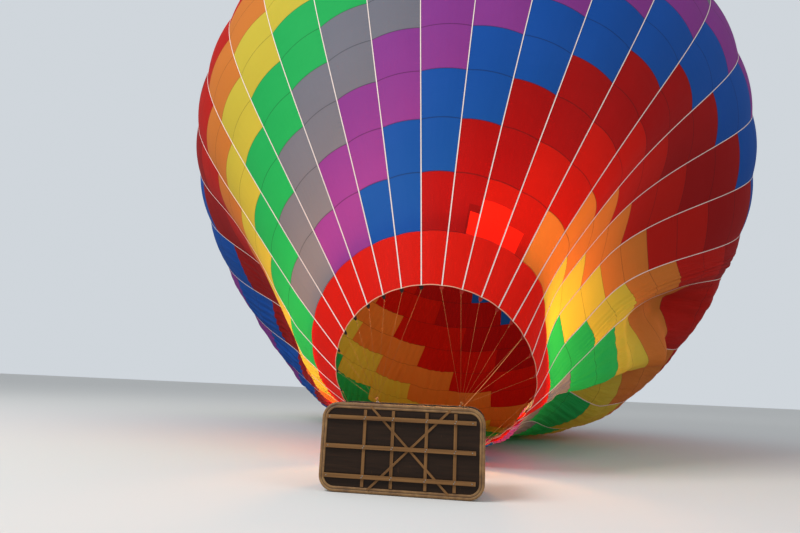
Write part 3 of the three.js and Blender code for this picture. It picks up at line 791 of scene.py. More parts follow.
tabShape = {
    "halfWide": 0.040,
    "thick": 0.005,
    # Each row has the reach from the mouth's edge, and the share of the half width there.
    "edges": [(-0.03, 1.0), (0.0, 1.0), (0.03, 0.95), (0.06, 0.75), (0.078, 0.45), (0.086, 0.25)],
    "redTapes": range(1, 17),
}


def addTabs():
    side = [(reach, -share * tabShape["halfWide"]) for reach, share in tabShape["edges"]]
    outline = side + [(reach, -half) for reach, half in reversed(side)]
    parts, colours = [], []
    for tape in range(goreCount):
        edge, down, across = tabLine(tape)
        lift = down.cross(across) * (tabShape["thick"] / 2)
        flat = [edge + down * reach + across * half for reach, half in outline]
        points = [at + lift * sign for sign in (-1, 1) for at in flat]
        faces = ringFaces(2, len(outline))
        parts.append((points, faces))
        colours += [int(tape in tabShape["redTapes"])] * len(faces)
    addPiece("mouthTabs", joinParts(parts), [tabDark, tabRed], "balloon", "tape_white",
             faceMaterials=colours, smooth=False)


addTabs()

wireShape = {
    "radius": 0.0018,
    "wires": 8,
    "firstTapes": (1, 25, 17, 9),
    "tipReach": 0.084,
    "eyeReach": 0.184,
    "ends": (0.02, 0.03),
    "loopBack": 0.012, "loopLong": 0.016, "loopWide": 0.009, "loopRadius": 0.0022,
    "sleeveRadius": 0.0048, "eyeSleeve": (0.012, 0.055), "tipSleeve": (0.07, 0.026),
    "ringWide": 0.016, "ringRadius": 0.0045,
}


# The tips of the tabs that one corner of the load frame holds, that corner, and the way they pull.
def cornerPull(corner):
    tips = []
    for k in range(wireShape["wires"]):
        edge, down, across = tabLine((wireShape["firstTapes"][corner] + k) % goreCount)
        tips.append(edge + down * wireShape["tipReach"])
    start = frameCorner(corner)
    return tips, start, (sum(tips, Vector()) / len(tips) - start).normalized()


def addFlyingWires(corner):
    w = wireShape
    tips, start, pull = cornerPull(corner)
    eye = start + pull * w["eyeReach"]
    ringWays = pull * w["ringWide"], pull.orthogonal().normalized() * w["ringWide"]
    parts = [tubePart(roundPoints(eye, *ringWays, 20), w["ringRadius"], 8, closed=True)]
    for tip in tips:
        way = (tip - eye).normalized()
        side = way.orthogonal().normalized()
        loop = roundPoints(tip - way * w["loopBack"], way * w["loopLong"], side * w["loopWide"], 12)
        parts.append(tubePart(loop, w["loopRadius"], 6, closed=True))
        parts.append(tubePart([eye + way * w["ends"][0], tip - way * w["ends"][1]], w["radius"], 8))
        eyeSleeve = [eye + way * reach for reach in w["eyeSleeve"]]
        tipSleeve = [tip - way * reach for reach in w["tipSleeve"]]
        parts += [tubePart(sleeve, w["sleeveRadius"], 8) for sleeve in (eyeSleeve, tipSleeve)]
    addPiece(f"flyingWires{corner + 1}", joinParts(parts), [wireSteel], "balloon", "wire_steel",
             f"flying_wires_{corner + 1}")


for corner in range(len(cornerSigns)):
    addFlyingWires(corner)

lineShape = {
    "tape": 6, "radius": 0.0048, "sag": 0.03, "steps": 40, "endsAt": 0.14,
    "loopLong": 0.012, "loopWide": 0.010, "loopRadius": 0.0035, "hitchWide": 0.012, "hitchRadius": 0.0045,
}
lineOrange = plainCloth("lineOrange", (0.78, 0.33, 0.12), 300.0)


# A thicker line runs beside one wire of the first corner, drawn nearly straight.
def addMouthLine():
    s = lineShape
    edge, down, across = tabLine(s["tape"])
    top = edge + down * (wireShape["tipReach"] - wireShape["loopBack"])
    end = frameCorner(0) + fromFloor(s["endsAt"])
    shares = [k / s["steps"] for k in range(s["steps"] + 1)]
    path = [top.lerp(end, share) - Vector((0, 0, s["sag"] * 4 * share * (1 - share))) for share in shares]
    loop = roundPoints(top, down * s["loopLong"], across * s["loopWide"], 14)
    hitch = roundPoints(end, Vector((s["hitchWide"], 0, 0)), Vector((0, 0, s["hitchWide"])), 14)
    parts = [
        tubePart(path, s["radius"], 8),
        tubePart(loop, s["loopRadius"], 6, closed=True),
        tubePart(hitch, s["hitchRadius"], 6, closed=True),
    ]
    addPiece("mouthLine", joinParts(parts), [lineOrange], "balloon", "tape_white")


addMouthLine()
print("mouth and wires made")

# Basket

basketShape = {
    "halfX": 1.18, "halfZ": 0.61, "corner": 0.21,
    "wallStart": 0.0633, "wallEnd": 1.13, "wallThick": 0.03,
    "floorStart": 0.045, "floorThick": 0.018,
}
weaveShape = {
    "pitch": 0.0135, "stakes": 132, "stakeRadius": 0.0062,
    "swing": 0.0075, "strandOut": 0.0052, "strandHigh": 0.0069,
}


def loopLength(loop, shift=0.0):
    halfX, halfZ, corner = (loop[key] + shift for key in ("halfX", "halfZ", "corner"))
    return 4 * (halfX + halfZ - 2 * corner) + math.tau * corner


# The place at a distance round a rounded outline, which can be shifted outwards: a point and the way out.
def loopPlace(loop, distance, shift=0.0):
    halfX, halfZ, corner = (loop[key] + shift for key in ("halfX", "halfZ", "corner"))
    arc = math.pi * corner / 2
    distance %= loopLength(loop, shift)
    for quarter in range(4):
        turn = quarter * math.pi / 2
        out = Vector((math.cos(turn), 0, math.sin(turn)))
        ahead = Vector((-math.sin(turn), 0, math.cos(turn)))
        reach, half = (halfZ, halfX) if quarter % 2 else (halfX, halfZ)
        length = 2 * (half - corner)
        if distance <= length:
            return out * reach + ahead * (distance - length / 2), out
        distance -= length
        if distance <= arc:
            angle = turn + distance / corner
            bend = Vector((math.cos(angle), 0, math.sin(angle)))
            return out * (reach - corner) + ahead * (length / 2) + bend * corner, bend
        distance -= arc
    return out * reach, out


def roundLoop(loop, count, shift=0.0):
    whole = loopLength(loop, shift)
    return [loopPlace(loop, whole * k / count, shift) for k in range(count)]


# Sweeps a cross section, given as pairs of outward offset and height, round the basket's outline.
def sweptPart(section, loop, count):
    points = []
    for at, out in roundLoop(loop, count):
        points += [basketMiddle + at + out * offset + fromFloor(y) for offset, y in section]
    return points, ringFaces(count, len(section), closed=True, flip=True)


# One strand of cane swings in and out between the stakes.
def strandPart(places, y, startsOut, closed):
    halfOut, halfHigh = weaveShape["strandOut"], fromFloor(weaveShape["strandHigh"])
    points = []
    for k, (at, out) in enumerate(places):
        swing = (0, 1, 0, -1)[(k + (0 if startsOut else 2)) % 4] * weaveShape["swing"]
        middle = at + out * swing + fromFloor(y)
        points += [middle + out * halfOut, middle + halfHigh, middle - out * halfOut, middle - halfHigh]
    return points, ringFaces(len(places), 4, closed)


# Rows of strands with a stake at every second place, which stands between two heights.
def weaveParts(places, start, pitch, rows, low, high, closed=False):
    parts = [strandPart(places, start + (row + 0.5) * pitch, row % 2 == 0, closed) for row in rows]
    for at, out in places[1::2]:
        parts.append(tubePart([at + fromFloor(low), at + fromFloor(high)], weaveShape["stakeRadius"], 6))
    return parts


# Cane a little different from strand to strand; its strong red tint is painted firelight from the burner.
def firelitCane():
    bench = NodeBench("firelitCane")
    strands = bench.noise(1.0, 2.0, 0.5, stretch=(1.5, 75, 1.5))
    fibres = bench.noise(320.0, 3.0, 0.7)
    tone = bench.ramp(strands, [
        (0.28, (0.20, 0.035, 0.012)), (0.5, (0.47, 0.105, 0.028)), (0.72, (0.66, 0.21, 0.06))])
    tone = bench.mixColour(bench.times(bench.noise(2.2, 4.0, 0.6), 0.55), tone, (0.30, 0.06, 0.02))
    return bench.finish(colour=tone, roughness=0.55, normal=bench.bump(fibres, 0.3, 0.0006), specular=0.35)


cane = firelitCane()


def addWickerWall():
    start, end = basketShape["wallStart"], basketShape["wallEnd"]
    loop = roundLoop(basketShape, 2 * weaveShape["stakes"], -basketShape["wallThick"] / 2)
    places = [(basketMiddle + at, out) for at, out in loop]
    rows = int((end - start) / weaveShape["pitch"])
    pitch = (end - start) / rows
    for name, first, last, nodes in (
        ("wickerWallLow", 0, rows // 2, ["basket_wall"]),
        ("wickerWallHigh", rows // 2, rows, []),
    ):
        low, high = start + first * pitch, start + last * pitch
        parts = weaveParts(places, start, pitch, range(first, last), low, high, closed=True)
        addPiece(name, joinParts(parts), [cane], "balloon", "wicker", *nodes)


partitionShape = {"bay": -0.42, "gap": 0.004, "step": 0.027, "low": 0.0642, "high": 1.0, "join": 0.02}


# One woven panel crosses the basket, and one runs from it to the far end.
def addPartition():
    p, pitch = partitionShape, weaveShape["pitch"]
    inset = basketShape["wallThick"] + p["gap"]
    innerX, innerZ = basketShape["halfX"] - inset, basketShape["halfZ"] - inset
    rows = range(int((p["high"] - p["low"]) / pitch))
    parts = []
    for start, end, out in (
        (Vector((p["bay"], 0, -innerZ)), Vector((p["bay"], 0, innerZ)), Vector((1, 0, 0))),
        (Vector((p["bay"] + p["join"], 0, 0)), Vector((innerX, 0, 0)), Vector((0, 0, 1))),
    ):
        steps = int((end - start).length / p["step"]) // 4 * 4
        places = [(basketMiddle + start.lerp(end, k / steps), out) for k in range(steps + 1)]
        parts += weaveParts(places, p["low"], pitch, rows, p["low"], p["high"])
    addPiece("wickerPartition", joinParts(parts), [cane], "balloon", "wicker", "basket_partition")


addWickerWall()
addPartition()
print("wicker woven")

# Floor board, edge band and runners


def stainedBoard():
    bench = NodeBench("stainedBoard")
    grain = bench.noise(3.0, 5.0, 0.6, stretch=(0.6, 1, 9))
    scuffs = bench.noise(9.0, 4.0, 0.75, stretch=(3.5, 1, 0.6))
    stain = bench.noise(1.4, 4.0, 0.65)
    tone = bench.ramp(grain, [
        (0.3, (0.008, 0.004, 0.002)), (0.62, (0.022, 0.010, 0.005)), (0.85, (0.045, 0.019, 0.008))])
    scratched = bench.times(bench.math("GREATER_THAN", scuffs, 0.69), 0.5)
    tone = bench.mixColour(scratched, tone, (0.09, 0.040, 0.018))
    tone = bench.mixColour(bench.times(stain, 0.5), tone, (0.026, 0.013, 0.006))
    rough = bench.plus(bench.times(stain, 0.4), 0.28)
    return bench.finish(colour=tone, roughness=rough, normal=bench.bump(grain, 0.35, 0.003), specular=0.15)


# Worn timber: the grain runs along each plank's own length, and its ends are rubbed pale.
def wornTimber():
    bench = NodeBench("wornTimber")
    uv = bench.add("ShaderNodeUVMap", uv_map="clothUv").outputs[0]
    grain = bench.noise(1.0, 6.0, 0.65, vector=uv, stretch=(2.2, 90, 1))
    bands = bench.noise(1.0, 3.0, 0.6, vector=uv, stretch=(0.8, 22, 1))
    dirt = bench.noise(5.0, 4.0, 0.6)
    browns = [(0.3, (0.12, 0.050, 0.016)), (0.55, (0.25, 0.115, 0.036)), (0.8, (0.36, 0.18, 0.06))]
    tone = bench.ramp(bands, browns)
    tone = bench.mixColour(bench.times(grain, 0.5), tone, (0.09, 0.038, 0.014))
    tone = bench.mixColour(bench.times(dirt, 0.55), tone, (0.13, 0.07, 0.024))
    x = bench.add("ShaderNodeSeparateXYZ", {0: bench.place()}).outputs[0]
    atEnd = bench.times(bench.math("SUBTRACT", x, 0.83), 9.0, clamp=True)
    atEnd = bench.times(atEnd, bench.math("GREATER_THAN", bands, 0.44))
    tone = bench.mixColour(bench.times(atEnd, 0.6), tone, (0.52, 0.36, 0.17))
    return bench.finish(colour=tone, roughness=0.68, normal=bench.bump(grain, 0.45, 0.0015), specular=0.18)


def scuffedLeather(name, pale, mid, dark, scale=1.0):
    bench = NodeBench(name)
    cells = bench.add("ShaderNodeTexVoronoi", {"Vector": bench.place(), "Scale": 260.0 / scale})
    pores = cells.outputs["Distance"]
    wear = bench.noise(7.0 / scale, 5.0, 0.68)
    cracks = bench.noise(38.0 / scale, 4.0, 0.7)
    tone = bench.ramp(wear, [(0.3, dark), (0.5, mid), (0.74, pale)])
    tone = bench.mixColour(bench.times(cracks, 0.4), tone, dark)
    height = bench.plus(bench.times(pores, 0.5), bench.times(cracks, 0.6))
    rough = bench.plus(bench.times(wear, 0.3), 0.4)
    return bench.finish(colour=tone, roughness=rough, normal=bench.bump(height, 0.35, 0.0015), specular=0.4)


boardStain = stainedBoard()
timber = wornTimber()
edgeLeather = scuffedLeather(
    "edgeLeather", (0.37, 0.21, 0.075), (0.22, 0.11, 0.036), (0.10, 0.045, 0.015), 1.4)
# A darker copy of the edge leather: painted shade for the grooves.
edgeGrooveShade = scuffedLeather(
    "edgeGrooveShade", (0.13, 0.07, 0.026), (0.08, 0.038, 0.014), (0.035, 0.018, 0.008), 1.4)
rimLeather = scuffedLeather("rimLeather", (0.17, 0.085, 0.045), (0.085, 0.040, 0.022), (0.035, 0.017, 0.010))
poleSleeve = scuffedLeather("poleSleeve", (0.050, 0.046, 0.044), (0.026, 0.024, 0.024), (0.012, 0.011, 0.011))
laceThread = plainCloth("laceThread", (0.30, 0.20, 0.10), 400.0)
ropeBlack = plainCloth("ropeBlack", (0.022, 0.020, 0.021), 300.0)
webBlack = plainCloth("webBlack", (0.030, 0.029, 0.032), 420.0)

# The edge band's cross section on the floor side has two rounded strips with a groove between them.
edgeShape = {
    "halfX": 1.2, "halfZ": 0.63, "corner": 0.23, "start": 0.033, "end": 0.2, "stations": 176,
    "floorSide": [
        (-0.080, 0.0112), (-0.080, 0.003), (-0.077, 0), (-0.062, -0.003), (-0.049, 0),
        (-0.045, 0.005), (-0.041, 0.001), (-0.026, -0.004), (-0.010, 0), (-0.002, 0.008), (0.0, 0.02),
    ],
    "wallGroove": [(0.0, 0.090), (-0.004, 0.096), (0.0, 0.102)],
    "wallEnd": [(0.0, -0.006), (-0.004, 0), (-0.012, 0), (-0.0195, -0.004)],
    "shadedGrooves": {4, 5, 12},
    "stitch": 0.017, "stitchPitch": 0.045, "stitchRadius": 0.0016,
    "floorSeam": -0.020,
}


def addFloorBoard():
    low = basketShape["floorStart"]
    high = low + basketShape["floorThick"]
    section = [(-0.003, low), (-0.0005, low + 0.003), (-0.0005, high - 0.003), (-0.003, high)]
    count, size = edgeShape["stations"], len(section)
    points, faces = sweptPart(section, basketShape, count)
    faces = [f for f in faces if f[0] % size != size - 1]
    faces.append(tuple(k * size for k in range(count)))
    faces.append(tuple(k * size + size - 1 for k in reversed(range(count))))
    addPiece("floorBoard", (points, faces), [boardStain], "balloon", "floor_board", "basket_floor",
             smooth=False)


def addEdgeBand():
    e = edgeShape
    start, end = e["start"], e["end"]
    section = [(offset, start + y) for offset, y in e["floorSide"]] + e["wallGroove"]
    section += [(offset, end + y) for offset, y in e["wallEnd"]]
    section.append((e["wallEnd"][-1][0], start + e["floorSide"][0][1]))
    points, faces = sweptPart(section, e, e["stations"])
    # The groove faces take the darker leather, as painted shade in the recesses.
    colours = [int(f[0] % len(section) in e["shadedGrooves"]) for f in faces]
    addPiece("edgeBand", (points, faces), [edgeLeather, edgeGrooveShade], "balloon", "edge_leather",
             "floor_edge_band", faceMaterials=colours)
    # One row of stitches leans along the wall side, one lies straight on the floor side.
    rows = (
        (0.0, fromFloor(end - 0.018), fromFloor(0.006), 0.0015),
        (e["floorSeam"], fromFloor(start - 0.0045), fromFloor(0), 0),
    )
    stitches = []
    whole = loopLength(e)
    count = int(whole / e["stitchPitch"])
    for k in range(count):
        for shift, high, lean, proudOut in rows:
            at, out = loopPlace(e, whole * k / count, shift)
            later = loopPlace(e, whole * k / count + e["stitch"], shift)[0]
            proud = out * proudOut if proudOut else fromFloor(-0.001)
            first, last = at + lean + proud * 0.2, later - lean + proud * 0.2
            path = [basketMiddle + high + p for p in (first, (at + later) / 2 + proud, last)]
            stitches.append(tubePart(path, e["stitchRadius"], 6))
    addPiece("edgeStitching", joinParts(stitches), [laceThread], "balloon", "edge_leather")


# A plank with its length along x, turned about y and moved, with the grain laid along it.
def plankPart(size, at, turnY, grainStart):
    turn = Matrix.Rotation(turnY, 3, "Y")
    points, faces = blockPart(size)
    corners = [points[corner] for face in faces for corner in face]
    uvs = [(grainStart + p.x, grainStart * 3 + p.y + p.z) for p in corners]
    return ([basketMiddle + Vector(at) + turn @ p for p in points], faces), uvs


runnerShape = {
    "length": 2.2, "wide": 0.058, "thick": 0.026, "shift": -0.03, "rows": (-0.4, 0.013, 0.422),
    "battens": (-0.663, -0.247, 0.247, 0.663),
    "battenLength": 1.08, "battenWide": 0.046, "battenThick": 0.019, "battenAt": 0.0351,
    "braceMiddle": 0.11, "braceRow": 0.005, "braceLength": 1.65, "braceWide": 0.034, "braceThick": 0.0086,
    "braceAt": (0.0283, 0.0277),
    "boltHead": [(0.0, -0.004), (0.0045, -0.0036), (0.0078, -0.0018), (0.0085, 0.0), (0.0085, 0.002)],
    "boltSpread": (0.0078, 0.013), "endBolts": (-1.08, 1.02),
}


def addRunners():
    s = runnerShape
    runner = (s["length"], s["thick"], s["wide"])
    batten = (s["battenLength"], s["battenThick"], s["battenWide"])
    brace = (s["braceLength"], s["braceThick"], s["braceWide"])
    planks = []
    for k, row in enumerate(s["rows"]):
        planks.append(plankPart(runner, (s["shift"], s["thick"] / 2, row), 0, 1.7 * k))
    for k, x in enumerate(s["battens"]):
        planks.append(plankPart(batten, (s["braceMiddle"] + x, s["battenAt"], 0), math.pi / 2, 7 + 1.3 * k))
    for k, lean in enumerate((1, -1)):
        at = (s["braceMiddle"], s["braceAt"][k], s["braceRow"])
        planks.append(plankPart(brace, at, lean * math.pi / 4, 15 + 2.1 * k))
    part = joinParts([plank for plank, uvs in planks])
    allUvs = [uv for plank, uvs in planks for uv in uvs]
    piece = addPiece("runnerTimber", part, [timber], "balloon", "runner_wood", "floor_runners",
                     cornerUvs=allUvs, smooth=False)
    softenEdges(piece, 0.003)
    spreadX, spreadZ = s["boltSpread"]
    spots = [(s["braceMiddle"] + x + spreadX * sign, 0, row + spreadZ * sign)
             for row in s["rows"] for x in s["battens"] for sign in (-1, 1)]
    spots += [(end, 0, row) for row in s["rows"] for end in s["endBolts"]]
    head = turnedPart(s["boltHead"], 14)
    bolts = [movedPart(head, Matrix.Translation(basketMiddle + Vector(spot))) for spot in spots]
    addPiece("runnerBolts", joinParts(bolts), [boltSteel], "balloon", "frame_steel")


addFloorBoard()
addEdgeBand()
addRunners()
print("floor made")

# Rim roll, grip ropes and poles

rimShape = {
    "halfX": 1.165, "halfZ": 0.595, "corner": 0.195, "radius": 0.038, "y": 1.1683,
    "stations": 960, "sides": 28, "seam": 5.5, "stitchPitch": 0.052,
    "pinch": 0.0035, "stitchPinch": 0.002, "pinchReach": 0.30,
    "ripple": 0.0009, "rippleReach": 0.9, "uneven": 0.0005,
    "laceHalf": 0.9, "laceProud": 0.0004, "laceRadius": 0.0022,
}


# A firm roll of leather: it pulls in a little at each stitch along its outer seam.
def addRimRoll():
    r = rimShape
    whole, seam = loopLength(r), r["seam"]

    def rimPoint(at, out, turn, radius):
        high = fromFloor(r["y"] + radius * math.sin(turn))
        return basketMiddle + at + out * (radius * math.cos(turn)) + high

    points = []
    for k in range(r["stations"]):
        distance = whole * k / r["stations"]
        at, out = loopPlace(r, distance)
        phase = math.tau * distance / r["stitchPitch"]
        stitch = 0.5 + 0.5 * math.cos(phase)
        uneven = math.sin(distance * 5.1) + math.sin(distance * 8.7 + 1)
        for s in range(r["sides"]):
            turn = math.tau * s / r["sides"]
            fromSeam = min(abs(turn - seam), math.tau - abs(turn - seam))
            pinch = bell(fromSeam, r["pinchReach"]) * (r["pinch"] + r["stitchPinch"] * stitch)
            ripple = r["ripple"] * math.sin(phase * 2 + turn * 3) * bell(fromSeam, r["rippleReach"])
            radius = r["radius"] - pinch + ripple + r["uneven"] * uneven
            points.append(rimPoint(at, out, turn, radius))
    part = points, ringFaces(r["stations"], r["sides"], closed=True)
    piece = addPiece("rimRoll", part, [rimLeather], "balloon", "rim_leather", "basket_rim")
    # A lace wraps the roll onto the top strand of the wall.
    turns = int(whole / r["stitchPitch"])
    lace = []
    for k in range(turns):
        at, out = loopPlace(r, whole * (k + 0.5) / turns)
        around = np.linspace(seam - r["laceHalf"], seam + r["laceHalf"], 9)
        path = [rimPoint(at, out, turn, r["radius"] + r["laceProud"]) for turn in around]
        lace.append(tubePart(path, r["laceRadius"], 6))
    addPiece("rimLacing", joinParts(lace), [ropeBlack], "balloon", "rim_leather")


ropeShape = {
    "radius": 0.006, "rows": (0.30, 0.93), "ties": 26, "steps": 10,
    "stand": 0.010, "loopStand": 0.030, "mostStand": 0.020, "droop": 0.010,
    "tieShifts": (-0.005, 0.0, 0.005), "tieIn": 0.002, "tieOut": 0.0095, "tieHigh": 0.0085,
    "tieRadius": 0.0022,
}


# Grip ropes run round the basket, tied through the wicker, with a hand's room between ties.
def addGripRopes():
    r = ropeShape
    parts = []
    for y in r["rows"]:
        path = []
        for k, (at, out) in enumerate(roundLoop(basketShape, r["ties"] * r["steps"])):
            free = math.sin(math.pi * (k % r["steps"]) / r["steps"])
            stand = min(r["stand"] + (r["loopStand"] - r["stand"]) * free ** 2, r["mostStand"])
            high = y - r["droop"] * free * (1 - 0.5 * out.z)
            path.append(basketMiddle + at + out * stand + fromFloor(high))
        parts.append(tubePart(path, r["radius"], 10, closed=True))
        for at, out in roundLoop(basketShape, r["ties"]):
            middle = basketMiddle + at + out * (r["stand"] - r["tieIn"]) + fromFloor(y)
            ahead = out.cross(Vector((0, 1, 0)))
            for shift in r["tieShifts"]:
                ring = roundPoints(middle + ahead * shift, out * r["tieOut"], fromFloor(r["tieHigh"]), 12)
                parts.append(tubePart(ring, r["tieRadius"], 6, closed=True))
    addPiece("gripRopes", joinParts(parts), [ropeBlack], "balloon", "pole_cover")


poleShape = {
    "radius": 0.034, "low": (1.066, 1.0, 0.496), "socket": 0.110, "steps": 120, "sides": 24,
    "slack": 0.0012, "cuff": 0.0012, "cuffShare": 0.035,
    "seam": 0.0022, "seamReach": 0.22, "ripple": 0.0006, "rippleReach": 1.1,
}


# The foot of a pole in the basket, and its corner of the load frame.
def poleEnds(corner):
    signX, signZ = cornerSigns[corner]
    x, y, z = poleShape["low"]
    return basketMiddle + Vector((signX * x, y, signZ * z)), frameCorner(corner)


# A padded sleeve covers each pole, with its seam on the inner side.
def addPole(corner):
    p = poleShape
    low, high = poleEnds(corner)
    way = (high - low).normalized()
    high = high - way * (p["socket"] + 0.001)
    length = (high - low).length
    signX, signZ = cornerSigns[corner]
    side = way.cross(Vector((-signX, 0, -signZ)).normalized()).normalized()
    front = side.cross(way)
    points = []
    for m in range(p["steps"] + 1):
        share = m / p["steps"]
        at = low.lerp(high, share)
        cuff = p["cuff"] if min(share, 1 - share) < p["cuffShare"] else 0.0
        for s in range(p["sides"]):
            turn = math.tau * s / p["sides"]
            fromSeam = min(turn, math.tau - turn)
            ripple = math.sin(share * length * 95 + 3 * math.sin(turn)) * bell(fromSeam, p["rippleReach"])
            seam = p["seam"] * bell(fromSeam, p["seamReach"])
            radius = p["radius"] - p["slack"] - seam + cuff + p["ripple"] * ripple
            points.append(at + front * (radius * math.cos(turn)) + side * (radius * math.sin(turn)))
    part = points, ringFaces(p["steps"] + 1, p["sides"])
    piece = addPiece(f"poleSleeve{corner + 1}", part, [poleSleeve], "balloon", "pole_cover",
                     f"pole_{corner + 1}")


addRimRoll()
addGripRopes()
for corner in range(len(cornerSigns)):
    addPole(corner)
print("rim, ropes and poles made")

# Gas cylinders

cylinderShape = {
    "radius": 0.15,
    "spots": ((-0.97, 0.415), (-0.64, 0.415), (-0.97, -0.415), (-0.64, -0.415)),
    "start": 0.069,
    "outline": [
        (0.0, 0.0), (0.100, 0.0), (0.104, 0.003), (0.108, 0.012), (0.120, 0.016), (0.138, 0.030),
        (0.148, 0.050), (0.150, 0.072), (0.150, 0.400), (0.1465, 0.404), (0.1465, 0.410), (0.150, 0.414),
        (0.150, 0.745), (0.147, 0.775), (0.138, 0.802), (0.122, 0.824), (0.098, 0.838), (0.0905, 0.842),
        (0.0905, 0.896), (0.0885, 0.904), (0.0850, 0.905), (0.0830, 0.902), (0.0825, 0.856),
        (0.060, 0.852), (0.030, 0.854), (0.0, 0.855),
    ],
    "straps": (0.26, 0.62), "strapHalf": 0.0225, "strapGap": (0.0006, 0.0030),
    "buckle": (0.046, 0.050, 0.012),
}

# The brass on a cylinder: each fitting's place above its foot, its outline and its sides.
valveFittings = {
    "wheel": ((0, 0.885, 0), [
        (0.0, 0.0), (0.026, 0.0), (0.030, 0.003), (0.030, 0.009), (0.026, 0.012), (0.0, 0.012)], 24),
    "stem": ((0, 0.885, 0), [
        (0.0, -0.030), (0.013, -0.030), (0.013, -0.012), (0.009, -0.010), (0.009, 0.002), (0.0, 0.002)], 16),
    "gauge": ((0.045, 0.8545, 0.025), [
        (0.0, 0.0), (0.018, 0.0), (0.020, 0.003), (0.020, 0.012), (0.0175, 0.014), (0.0, 0.014)], 24),
    "spout": ((-0.012, 0.870, 0), [
        (0.0, 0.0), (0.008, 0.0), (0.008, 0.03), (0.012, 0.032), (0.012, 0.045), (0.0, 0.045)], 12),
}
toX = Matrix.Rotation(-math.pi / 2, 4, "Z")
toZ = Matrix.Rotation(math.pi / 2, 4, "X")


def addCylinder(k, x, z):
    c = cylinderShape
    r, half = c["radius"], c["strapHalf"]
    place = Matrix.Translation(basketMiddle + Vector((x, c["start"], z)))
    addPiece(f"gasCylinder{k + 1}", movedPart(turnedPart(c["outline"], 48), place), [tankSteel], "balloon",
             "cylinder_metal", f"fuel_cylinder_{k + 1}", sharp=35)
    fittings = []
    for name, (at, outline, sides) in valveFittings.items():
        turn = toX.inverted() if name == "spout" else Matrix()
        fittings.append(movedPart(turnedPart(outline, sides), place @ Matrix.Translation(at) @ turn))
    addPiece(f"cylinderValve{k + 1}", joinParts(fittings), [valveBrass], "balloon", "valve_brass", sharp=35)
    straps = []
    for y in c["straps"]:
        inner, outer = (r + gap for gap in c["strapGap"])
        section = [(inner, y - half), (outer, y - half), (outer, y + half), (inner, y + half)]
        buckleOut = math.copysign(r + c["buckle"][2] / 2, -z)
        straps += [turnedPart(section, 48, closed=True), blockPart(c["buckle"], (0, y, buckleOut))]
    addPiece(f"cylinderStraps{k + 1}", movedPart(joinParts(straps), place), [webBlack], "balloon",
             "pole_cover", smooth=False)


for k, (x, z) in enumerate(cylinderShape["spots"]):
    addCylinder(k, x, z)
print("cylinders made")

# Load frame, link rings, gimbal and burner

eyePlate = {
    "reach": 0.042, "long": 0.076, "thick": 0.010, "wide": 0.056, "holeAt": 0.052, "holeRadius": 0.015,
}
frameFit = {
    "socketWide": [0.022, 0.022, 0.022, 0.0245, 0.0245],
    "socketSteps": (0, 0.03, 0.096, 0.098, 0.110),
    "bossRadius": 0.024, "bossLong": 0.044, "bossInset": 0.018,
}
gimbalShape = {
    "halfX": 0.62, "halfZ": 0.37, "corner": 0.09, "tube": 0.016, "pitch": 15.0,
    "pin": 0.010, "bore": 0.0106, "soft": 0.001,
    "washerRadius": 0.015, "washerThick": 0.006,
    "bossRadius": 0.022, "bossLong": 0.040, "bossInset": 0.014,
}
linkRing = {
    "at": 0.108, "half": 0.034, "radius": 0.022, "tube": 0.006, "steps": 32,
    "sleeveHalf": 0.014, "sleeveRadius": 0.0088,
}


# A place along the wires' pull from one corner of the load frame, with the eye plate's face across it.
def cornerBasis(corner, distance):
    signX, signZ = cornerSigns[corner]
    start, pull = cornerPull(corner)[1:]
    face = Vector((-signZ * pull.z, 0, signZ * pull.x)).normalized()
    return placedAlong(pull, face, pull.cross(face), start + pull * distance)


def loopPipe(loop, place):
    path = [at for at, out in roundLoop(loop, 120)]
    return movedPart(tubePart(path, loop["tube"], 20, closed=True, up=Vector((0, 1, 0))), place)


# A flat plate with rounded corners and one round hole, its face across y.
def platePart(plate, count=32):
    outer, inner = [], []
    for k in range(count):
        turn = math.tau * k / count
        shape = (abs(math.cos(turn)) ** 6 + abs(math.sin(turn)) ** 6) ** (-1 / 6)
        outer.append((plate["long"] / 2 * math.cos(turn) * shape, plate["wide"] / 2 * math.sin(turn) * shape))
        holeX = plate["holeAt"] - plate["reach"] + plate["holeRadius"] * math.cos(turn)
        inner.append((holeX, plate["holeRadius"] * math.sin(turn)))
    half = plate["thick"] / 2
    rows = ((-half, outer), (-half, inner), (half, inner), (half, outer))
    points = [Vector((x, y, z)) for y, ring in rows for x, z in ring]
    return points, ringFaces(len(rows), count, closed=True)


def bossPart(outerRadius, boreRadius, length):
    half, soft = length / 2, 0.0015
    return turnedPart([
        (boreRadius, -half), (outerRadius - soft, -half), (outerRadius, -half + soft),
        (outerRadius, half - soft), (outerRadius - soft, half), (boreRadius, half)], 32, closed=True)


framePlace = Matrix.Translation(basketMiddle + fromFloor(loadFrame["y"]))
burnerPlace = framePlace @ Matrix.Rotation(math.radians(gimbalShape["pitch"]), 4, "X")


def addLoadFrame():
    parts = [loopPipe(loadFrame, framePlace)]
    for corner in range(len(cornerSigns)):
        low, high = poleEnds(corner)
        way = (low - high).normalized()
        socket = [high + way * step for step in frameFit["socketSteps"]]
        parts.append(tubePart(socket, frameFit["socketWide"], 20))
        parts.append(movedPart(platePart(eyePlate), cornerBasis(corner, eyePlate["reach"])))
    boss = bossPart(frameFit["bossRadius"], gimbalShape["bore"], frameFit["bossLong"])
    reach = loadFrame["halfX"] - loadFrame["tube"] - frameFit["bossInset"]
    for x in (reach, -reach):
        parts.append(movedPart(boss, framePlace @ Matrix.Translation((x, 0, 0)) @ toX))
    addPiece("loadFrameTube", joinParts(parts), [frameSteel], "balloon", "frame_steel", "load_frame",
             sharp=40)


